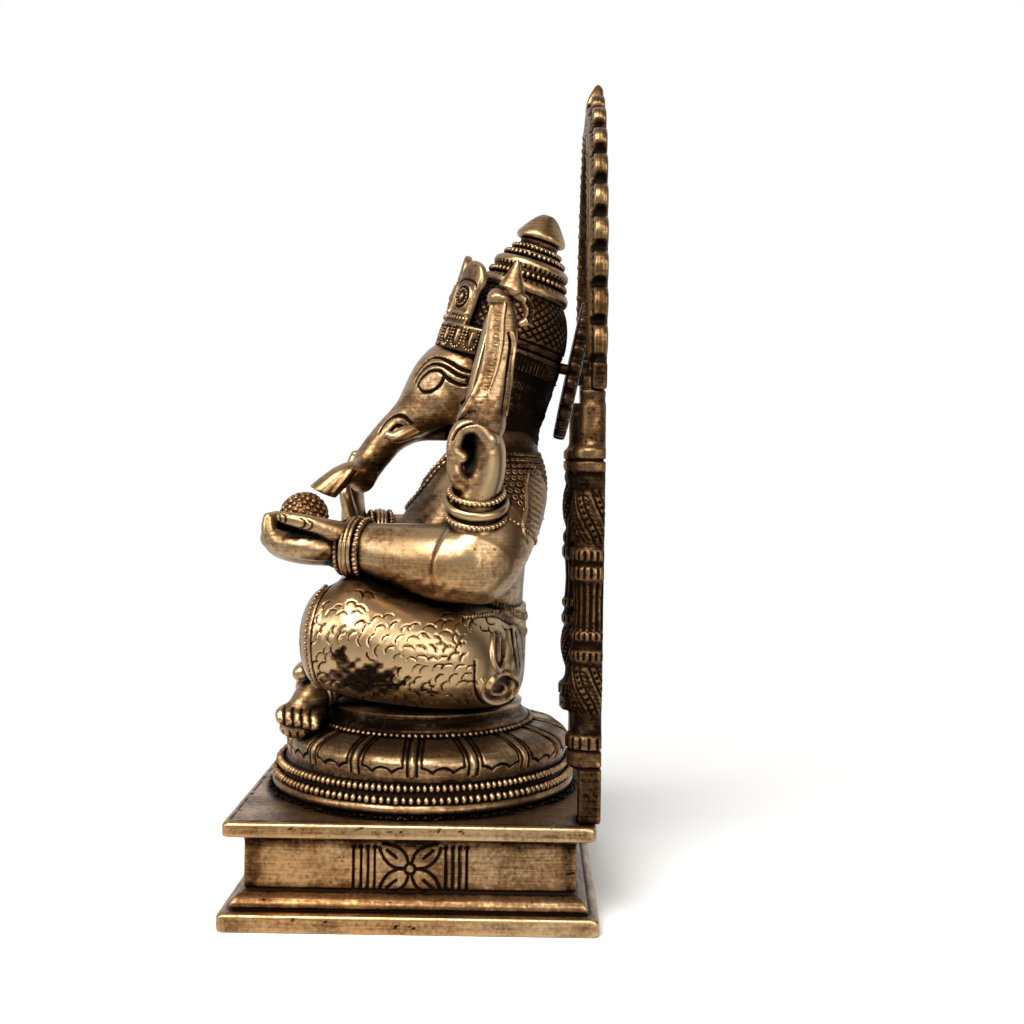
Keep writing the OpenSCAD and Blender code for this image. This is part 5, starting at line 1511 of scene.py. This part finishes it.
# %% Node tree that sets the repeats
def repeat_tree(kind):
    tree = bpy.data.node_groups.new("set_" + kind, "GeometryNodeTree")
    socket = lambda label, type_name, way="INPUT": tree.interface.new_socket(
        label, in_out=way, socket_type="NodeSocket" + type_name)
    socket("Points", "Geometry")
    for label, value in (("Unit", MM), ("Uneven", 0.08), ("Thin", 0.36)):
        socket(label, "Float").default_value = value
    socket("Seed", "Int").default_value = 7
    socket("Metal", "Material")
    socket("Pieces", "Geometry", "OUTPUT")
    given = add(tree, "NodeGroupInput")
    outward, along, size = (
        add(tree, "GeometryNodeInputNamedAttribute", data_type="FLOAT_VECTOR", in_0=k).outputs["Attribute"]
        for k in ("outward", "along", "size"))
    turn = add(tree, "FunctionNodeAlignRotationToVector", [("Vector", outward)], axis="Z")
    turn = add(tree, "FunctionNodeAlignRotationToVector", [("Rotation", turn.outputs[0]), ("Vector", along)],
               axis="X", pivot_axis="Z")
    less, more = (add(tree, "ShaderNodeMath", [(1, given.outputs["Uneven"])], operation=way, in_0=1.0).outputs[0]
                  for way in ("SUBTRACT", "ADD"))
    jitter = add(tree, "FunctionNodeRandomValue", [("Seed", given.outputs["Seed"]), (2, less), (3, more)],
                 data_type="FLOAT")
    metres = add(tree, "ShaderNodeMath", [(0, jitter.outputs[1]), (1, given.outputs["Unit"])], operation="MULTIPLY")
    scale = add(tree, "ShaderNodeVectorMath", [(0, size), ("Scale", metres.outputs[0])], operation="SCALE")
    if kind == "ring":
        loop = add(tree, "GeometryNodeCurvePrimitiveCircle", in_0=10, in_4=0.72)
        section = add(tree, "GeometryNodeCurvePrimitiveCircle", [("Radius", given.outputs["Thin"])], in_0=4)
        shape = add(tree, "GeometryNodeCurveToMesh", [(0, loop.outputs[0]), (1, section.outputs[0])])
    else:
        shape = add(tree, "GeometryNodeMeshIcoSphere", in_0=1.0, in_1=2 if kind == "bead" else 1)
    setting = add(tree, "GeometryNodeInstanceOnPoints", [
        ("Points", given.outputs["Points"]), ("Instance", shape.outputs[0]), ("Rotation", turn.outputs[0]),
        ("Scale", scale.outputs[0])])
    real = add(tree, "GeometryNodeRealizeInstances", [(0, setting.outputs[0])])
    shade = add(tree, "GeometryNodeSetShadeSmooth", [(0, real.outputs[0])])
    metal = add(tree, "GeometryNodeSetMaterial", [(0, shade.outputs[0]), ("Material", given.outputs["Metal"])])
    add(tree, "NodeGroupOutput", [(0, metal.outputs[0])])
    return tree


trees = {kind: repeat_tree(kind) for kind in ("bead", "crumb", "ring")}
print("node trees:", [tree.name for tree in trees.values()])

# %% Repeats
def set_repeats(kind, body, metal):
    at, up, way, size = (np.vstack(x) for x in zip(*places[kind, body]))
    mesh = bpy.data.meshes.new("places")
    mesh.from_pydata((at * MM).tolist(), [], [])
    for key, value in (("outward", up), ("along", way), ("size", size)):
        stored = mesh.attributes.new(key, "FLOAT_VECTOR", "POINT")
        stored.data.foreach_set("vector", value.astype(np.float32).ravel())
    holder = placed("places", mesh)
    nodes = holder.modifiers.new("repeats", "NODES")
    nodes.node_group = trees[kind]
    label = {s.name: s.identifier for s in nodes.node_group.interface.items_tree if s.in_out == "INPUT"}
    nodes[label["Uneven"]] = 0.1 if kind == "bead" else 0.14
    nodes[label["Metal"]] = metal
    pieces = evaluated(holder)
    holder.modifiers.remove(nodes)
    bpy.data.objects.remove(holder)
    c = Casting(f"{kind}s_on_{body}", points_of(pieces) / MM, triangles_of(pieces), node="", body=body)
    c.mesh = pieces
    print(c.name, len(at), "set,", len(c.f), "triangles")


for kind, body in sorted(places):
    set_repeats(kind, body, dark_brass if kind == "crumb" else arch_brass if body == "arch" else brass)

# %% [markdown]
# ### Where dark and bright gather
# Wax stays where a finger can't reach, and that can be measured: the share of metal in a small and in
# a wide ball round each point. Both come from one grid of the whole figure, blurred twice. A lot of metal
# around means a hollow; little of it means an edge that hands have rubbed bright.

# %% Crevice field
CELL, MARGIN, FEEL_OUT = 0.7, 6, 0.35
BROWNER = {"beads_on_idol": 0.24, "beads_on_arch": 0.3, "rings_on_idol": 0.1, "head_and_trunk": 0.05, "crown": 0.06}
low = np.array(cad_box[0]) / MM - MARGIN
origin = tuple(int(x) for x in np.floor(low / CELL))
dims = tuple(int(x) for x in np.ceil((np.array(cad_box[1]) / MM + MARGIN - low) / CELL))
metal = np.zeros(dims, np.float32)
for c in castings.values():
    tris, quads = (c.f if c.f.shape[1] == n else np.zeros((0, n), int) for n in (3, 4))
    d = distances((c.v, tris, quads), CELL, origin, dims)
    metal = np.maximum(metal, np.clip(0.5 - d / CELL, 0, 1))
near, wide = blurred(metal, 1), blurred(metal, 5)


def sampled(field, points):
    p = points / CELL - np.array(origin)
    base = np.clip(np.floor(p).astype(int), 0, np.array(dims) - 2)
    t = np.clip(p - base, 0, 1)
    total = np.zeros(len(points))
    for corner in np.ndindex(2, 2, 2):
        k = np.array(corner)
        total += field[tuple((base + k).T)] * np.prod(np.where(k, t, 1 - t), axis=1)
    return total


for name, more in BROWNER.items():
    castings[name].dark += more
for c in castings.values():
    c.v[:, 1] = np.minimum(c.v[:, 1], ARCH_BACK - 0.02)
    p = c.v + c.normals() * FEEL_OUT
    a, b = sampled(near, p), sampled(wide, p)
    # The stored dark tone adds the dark laid on above, painted shade included; the wear value takes the thighs' rub,
    # partly a painted highlight.
    c.hollow = np.clip(0.75 * smooth(0.36, 0.62, a) + 0.75 * smooth(0.46, 0.72, b) + c.dark, 0, 1.2)
    c.worn = np.maximum(smooth(0.34, 0.16, a), c.rub_and_highlight)
print("crevice field", dims)

# %% [markdown]
# ### Sockets
# The two sockets in the top slab show when the arch is lifted. They are sawn through at the sizes of
# the imported part, and a boolean is the plain way to do that. Their inside is set dark: it was never
# polished, and the dark also paints the shade deep in each hole. Edges over 55 degrees are shaded sharp.

# %% Sockets for the tenons
SOCKET_X, SOCKET_Y, HALF_X, HALF_Y = 40, 44.4, 3.3, 1.5
SAW_LOW, SAW_HIGH = 23.2, 29
BOX_SIDES = ((3, 2, 1, 0), (4, 5, 6, 7), (0, 1, 5, 4), (1, 2, 6, 5), (2, 3, 7, 6), (3, 0, 4, 7))


def cut_sockets(obj):
    verts, faces = [], []
    for s in (1, -1):
        faces += [tuple(len(verts) + k for k in side) for side in BOX_SIDES]
        verts += [(SOCKET_X * s + HALF_X * i, SOCKET_Y + HALF_Y * j, z) for z in (SAW_LOW, SAW_HIGH)
                  for i, j in ((-1, -1), (1, -1), (1, 1), (-1, 1))]
    mesh = bpy.data.meshes.new("socket_cutter")
    mesh.from_pydata((np.array(verts) * MM).tolist(), [], faces)
    cutter = placed("socket_cutter", mesh)
    mod = obj.modifiers.new("sockets", "BOOLEAN")
    mod.object, mod.operation, mod.solver = cutter, "DIFFERENCE", "EXACT"
    done = evaluated(obj)
    obj.modifiers.remove(mod)
    done.set_sharp_from_angle(angle=math.radians(55))
    x, y, z = points_of(done).T / MM
    tone = np.empty(len(x), np.float32)
    done.attributes["hollow"].data.foreach_get("value", tone)
    in_socket = (np.abs(np.abs(x) - SOCKET_X) < HALF_X + 0.2) & (np.abs(y - SOCKET_Y) < HALF_Y + 0.2)
    # Dark inside each socket: unpolished metal and painted shade.
    tone[in_socket & (z > 23) & (z < 28.1)] = 1.2
    done.attributes["hollow"].data.foreach_set("value", tone)
    obj.data = done
    bpy.data.objects.remove(cutter)
    print("plinth with sockets:", len(done.polygons), "faces")


print("sockets at x", (-SOCKET_X, SOCKET_X), "y", SOCKET_Y, "mm")

# %% [markdown]
# ### Making the pieces
# Each casting becomes one mesh in metres with its three tones stored on its points. It rides on its body
# and stands for its imported solid, which stays in the model for collision, hidden. A mesh over the
# limit of faces is thinned.

# %% Pieces
MOST = 190000


def make(casting, mat):
    mesh = getattr(casting, "mesh", None)
    if mesh is None:
        mesh = bpy.data.meshes.new(casting.name)
        mesh.from_pydata((casting.v * MM).tolist(), [], casting.f.tolist())
        mesh.polygons.foreach_set("use_smooth", np.ones(len(mesh.polygons), bool))
        mesh.materials.append(mat)
    for key in ("hollow", "worn", "cut"):
        stored = mesh.attributes.new(key, "FLOAT", "POINT")
        stored.data.foreach_set("value", getattr(casting, key).astype(np.float32))
    obj = placed(casting.name + "_skin", mesh)
    if casting.name == "plinth":
        cut_sockets(obj)
    mesh.calc_loop_triangles()
    count = len(mesh.loop_triangles)
    if count > MOST:
        slim = obj.modifiers.new("slim", "DECIMATE")
        slim.ratio = MOST / count
        obj.data = evaluated(obj)
        obj.modifiers.remove(slim)
        print(casting.name, "from", count, "to", len(obj.data.polygons), "faces")
    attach(obj, casting.body)
    if casting.node:
        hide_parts(casting.node)


for c in castings.values():
    make(c, dark_brass if c.name == "halo_wheel" else arch_brass if c.body == "arch" else brass)
print("pieces", len(castings))

# %% [markdown]
# ### Bolt, washer and pin
# A steel bolt and washer hold the castings together from below, and a pin carries the wheel. They are
# plain turned parts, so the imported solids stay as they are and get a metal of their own. Lathe marks
# run round them: noise that is stretched round the axis and 0.2 mm apart along it.

# %% Inner fastenings
LATHE_SCALE = (60, 60, 5000)  # 17 mm long and 0.2 mm apart
# Turned mild steel: a cool grey against the brass, with fine bright rings that follow the tool.
steel, t, shader = new_material("Plain steel, turned", 1.0)
where = add(t, "ShaderNodeTexCoord").outputs["Object"]
drawn_out = add(t, "ShaderNodeMapping", [("Vector", where)], in_3=LATHE_SCALE)
tool_marks = add(t, "ShaderNodeTexNoise", [("Vector", drawn_out.outputs[0])], in_2=1.0, in_3=2.0).outputs["Fac"]
ramp = add(t, "ShaderNodeValToRGB", [("Fac", tool_marks)])
for stop, place, code in zip(ramp.color_ramp.elements, (0.3, 0.7), ("#6E6B67", "#9A9792")):
    stop.position, stop.color = place, linear(code)
rough = add(t, "ShaderNodeMapRange", [("Value", tool_marks)], in_3=0.25, in_4=0.5)
t.links.new(ramp.outputs["Color"], shader.inputs["Base Color"])
t.links.new(rough.outputs["Result"], shader.inputs["Roughness"])
for name, mat in (("tie_bolt", steel), ("tie_washer", steel), ("halo_pin", dark_brass)):
    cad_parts[name].data.materials.clear()
    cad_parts[name].data.materials.append(mat)
    print(name, "in", mat.name)

# %% [markdown]
# ### Camera
# The idol was seen square from its left side, from about waist height and close by, so near edges spread.
# The lens and the small shift place it in the frame, and the camera is rolled by 0.9 degrees to match
# the slope of the plinth's edges.

# %% Camera
camera = placed("Camera", bpy.data.cameras.new("Camera"))
camera.location = (0.386, 0.02885, 0.1215)
level, roll = Euler((math.radians(90), 0, math.radians(90)), "XYZ"), Euler((0, 0, math.radians(0.9)))
camera.rotation_euler = (level.to_matrix() @ roll.to_matrix()).to_euler()
camera.data.lens, camera.data.sensor_width = 46.65, 36.0
camera.data.shift_x, camera.data.shift_y = -0.0156, -0.0508
camera.data.clip_start = 0.01
bpy.context.scene.camera = camera
print("camera at", tuple(round(x, 3) for x in camera.location))

# %% [markdown]
# ### Floor, room and light
# The light is a big soft window above, a fill from the front and a low panel behind the elbow. The floor
# is matt and pale and takes the shadow near the object; further off, rays from the camera and from
# mirrors see plain white. The room behind the idol is white for the same rays and dim for the rest.

# %% Floor
floor_mesh = bpy.data.meshes.new("floor")
floor_mesh.from_pydata([(-4, -4, 0), (4, -4, 0), (4, 4, 0), (-4, 4, 0)], [], [(0, 1, 2, 3)])
floor = placed("floor", floor_mesh)
# Matt wall paint: no gloss at all, so it shows the object's shadow and nothing else.
pale, t, paint = new_material("Pale painted floor", 0.0)
paint.inputs["Base Color"].default_value = linear("#F2F0EC")
paint.inputs["Roughness"].default_value = 0.9
where = add(t, "ShaderNodeTexCoord").outputs["Object"]
far = add(t, "ShaderNodeVectorMath", [(0, where)], operation="LENGTH")
away = add(t, "ShaderNodeMapRange", [("Value", far.outputs["Value"])], interpolation_type="SMOOTHSTEP",
           in_1=0.07, in_2=0.26)
rays = add(t, "ShaderNodeLightPath").outputs
seen = add(t, "ShaderNodeMath", [(0, rays["Is Camera Ray"]), (1, rays["Is Glossy Ray"])], operation="MAXIMUM")
seen = add(t, "ShaderNodeMath", [(0, seen.outputs[0]), (1, rays["Is Transmission Ray"])], operation="MAXIMUM")
share = add(t, "ShaderNodeMath", [(0, seen.outputs[0]), (1, away.outputs["Result"])], operation="MULTIPLY")
white = add(t, "ShaderNodeEmission")
mix = add(t, "ShaderNodeMixShader", [(0, share.outputs[0]), (1, paint.outputs[0]), (2, white.outputs[0])])
t.links.new(mix.outputs[0], t.nodes["Material Output"].inputs["Surface"])
floor_mesh.materials.append(pale)
print("floor in", pale.name)

# %% Room
world = bpy.data.worlds.new("Soft room")
bpy.context.scene.world = world
world.use_nodes = True
t = world.node_tree
rays = add(t, "ShaderNodeLightPath").outputs
toward = add(t, "ShaderNodeSeparateXYZ", [(0, add(t, "ShaderNodeTexCoord").outputs["Generated"])])
to_rear = add(t, "ShaderNodeMapRange", [("Value", toward.outputs[0])], interpolation_type="SMOOTHSTEP",
              in_1=0.1, in_2=-0.35)
mirror = add(t, "ShaderNodeMath", [(0, rays["Is Glossy Ray"]), (1, rays["Is Transmission Ray"])], operation="MAXIMUM")
mirror = add(t, "ShaderNodeMath", [(0, mirror.outputs[0]), (1, to_rear.outputs["Result"])], operation="MULTIPLY")
seen = add(t, "ShaderNodeMath", [(0, mirror.outputs[0]), (1, rays["Is Camera Ray"])], operation="MAXIMUM")
level = add(t, "ShaderNodeMapRange", [("Value", seen.outputs[0])], in_3=0.25, in_4=1.0)
room = t.nodes["Background"]
room.inputs["Color"].default_value = linear("#FFFFFF")
t.links.new(level.outputs["Result"], room.inputs["Strength"])
print("room", world.name)

# %% Lamps
LAMPS = (("key", (0.7, -0.3, 0.85), (0, 0, 0.1), 0.85, 25), ("fill", (0.4, -0.9, 0.4), (0, 0, 0.1), 0.5, 4),
         ("front", (0.85, 0.5, 0.36), (0, 0, 0.08), 0.8, 8))
for name, at, aim, size, watts in LAMPS:
    data = bpy.data.lights.new(name, "AREA")
    data.shape, data.size, data.energy = "DISK", size, watts
    lamp = placed(name, data)
    lamp.location = at
    lamp.rotation_euler = (Vector(aim) - Vector(at)).to_track_quat("-Z", "Y").to_euler()
bpy.context.scene.view_settings.view_transform = "Standard"
print("lamps:", len(LAMPS))
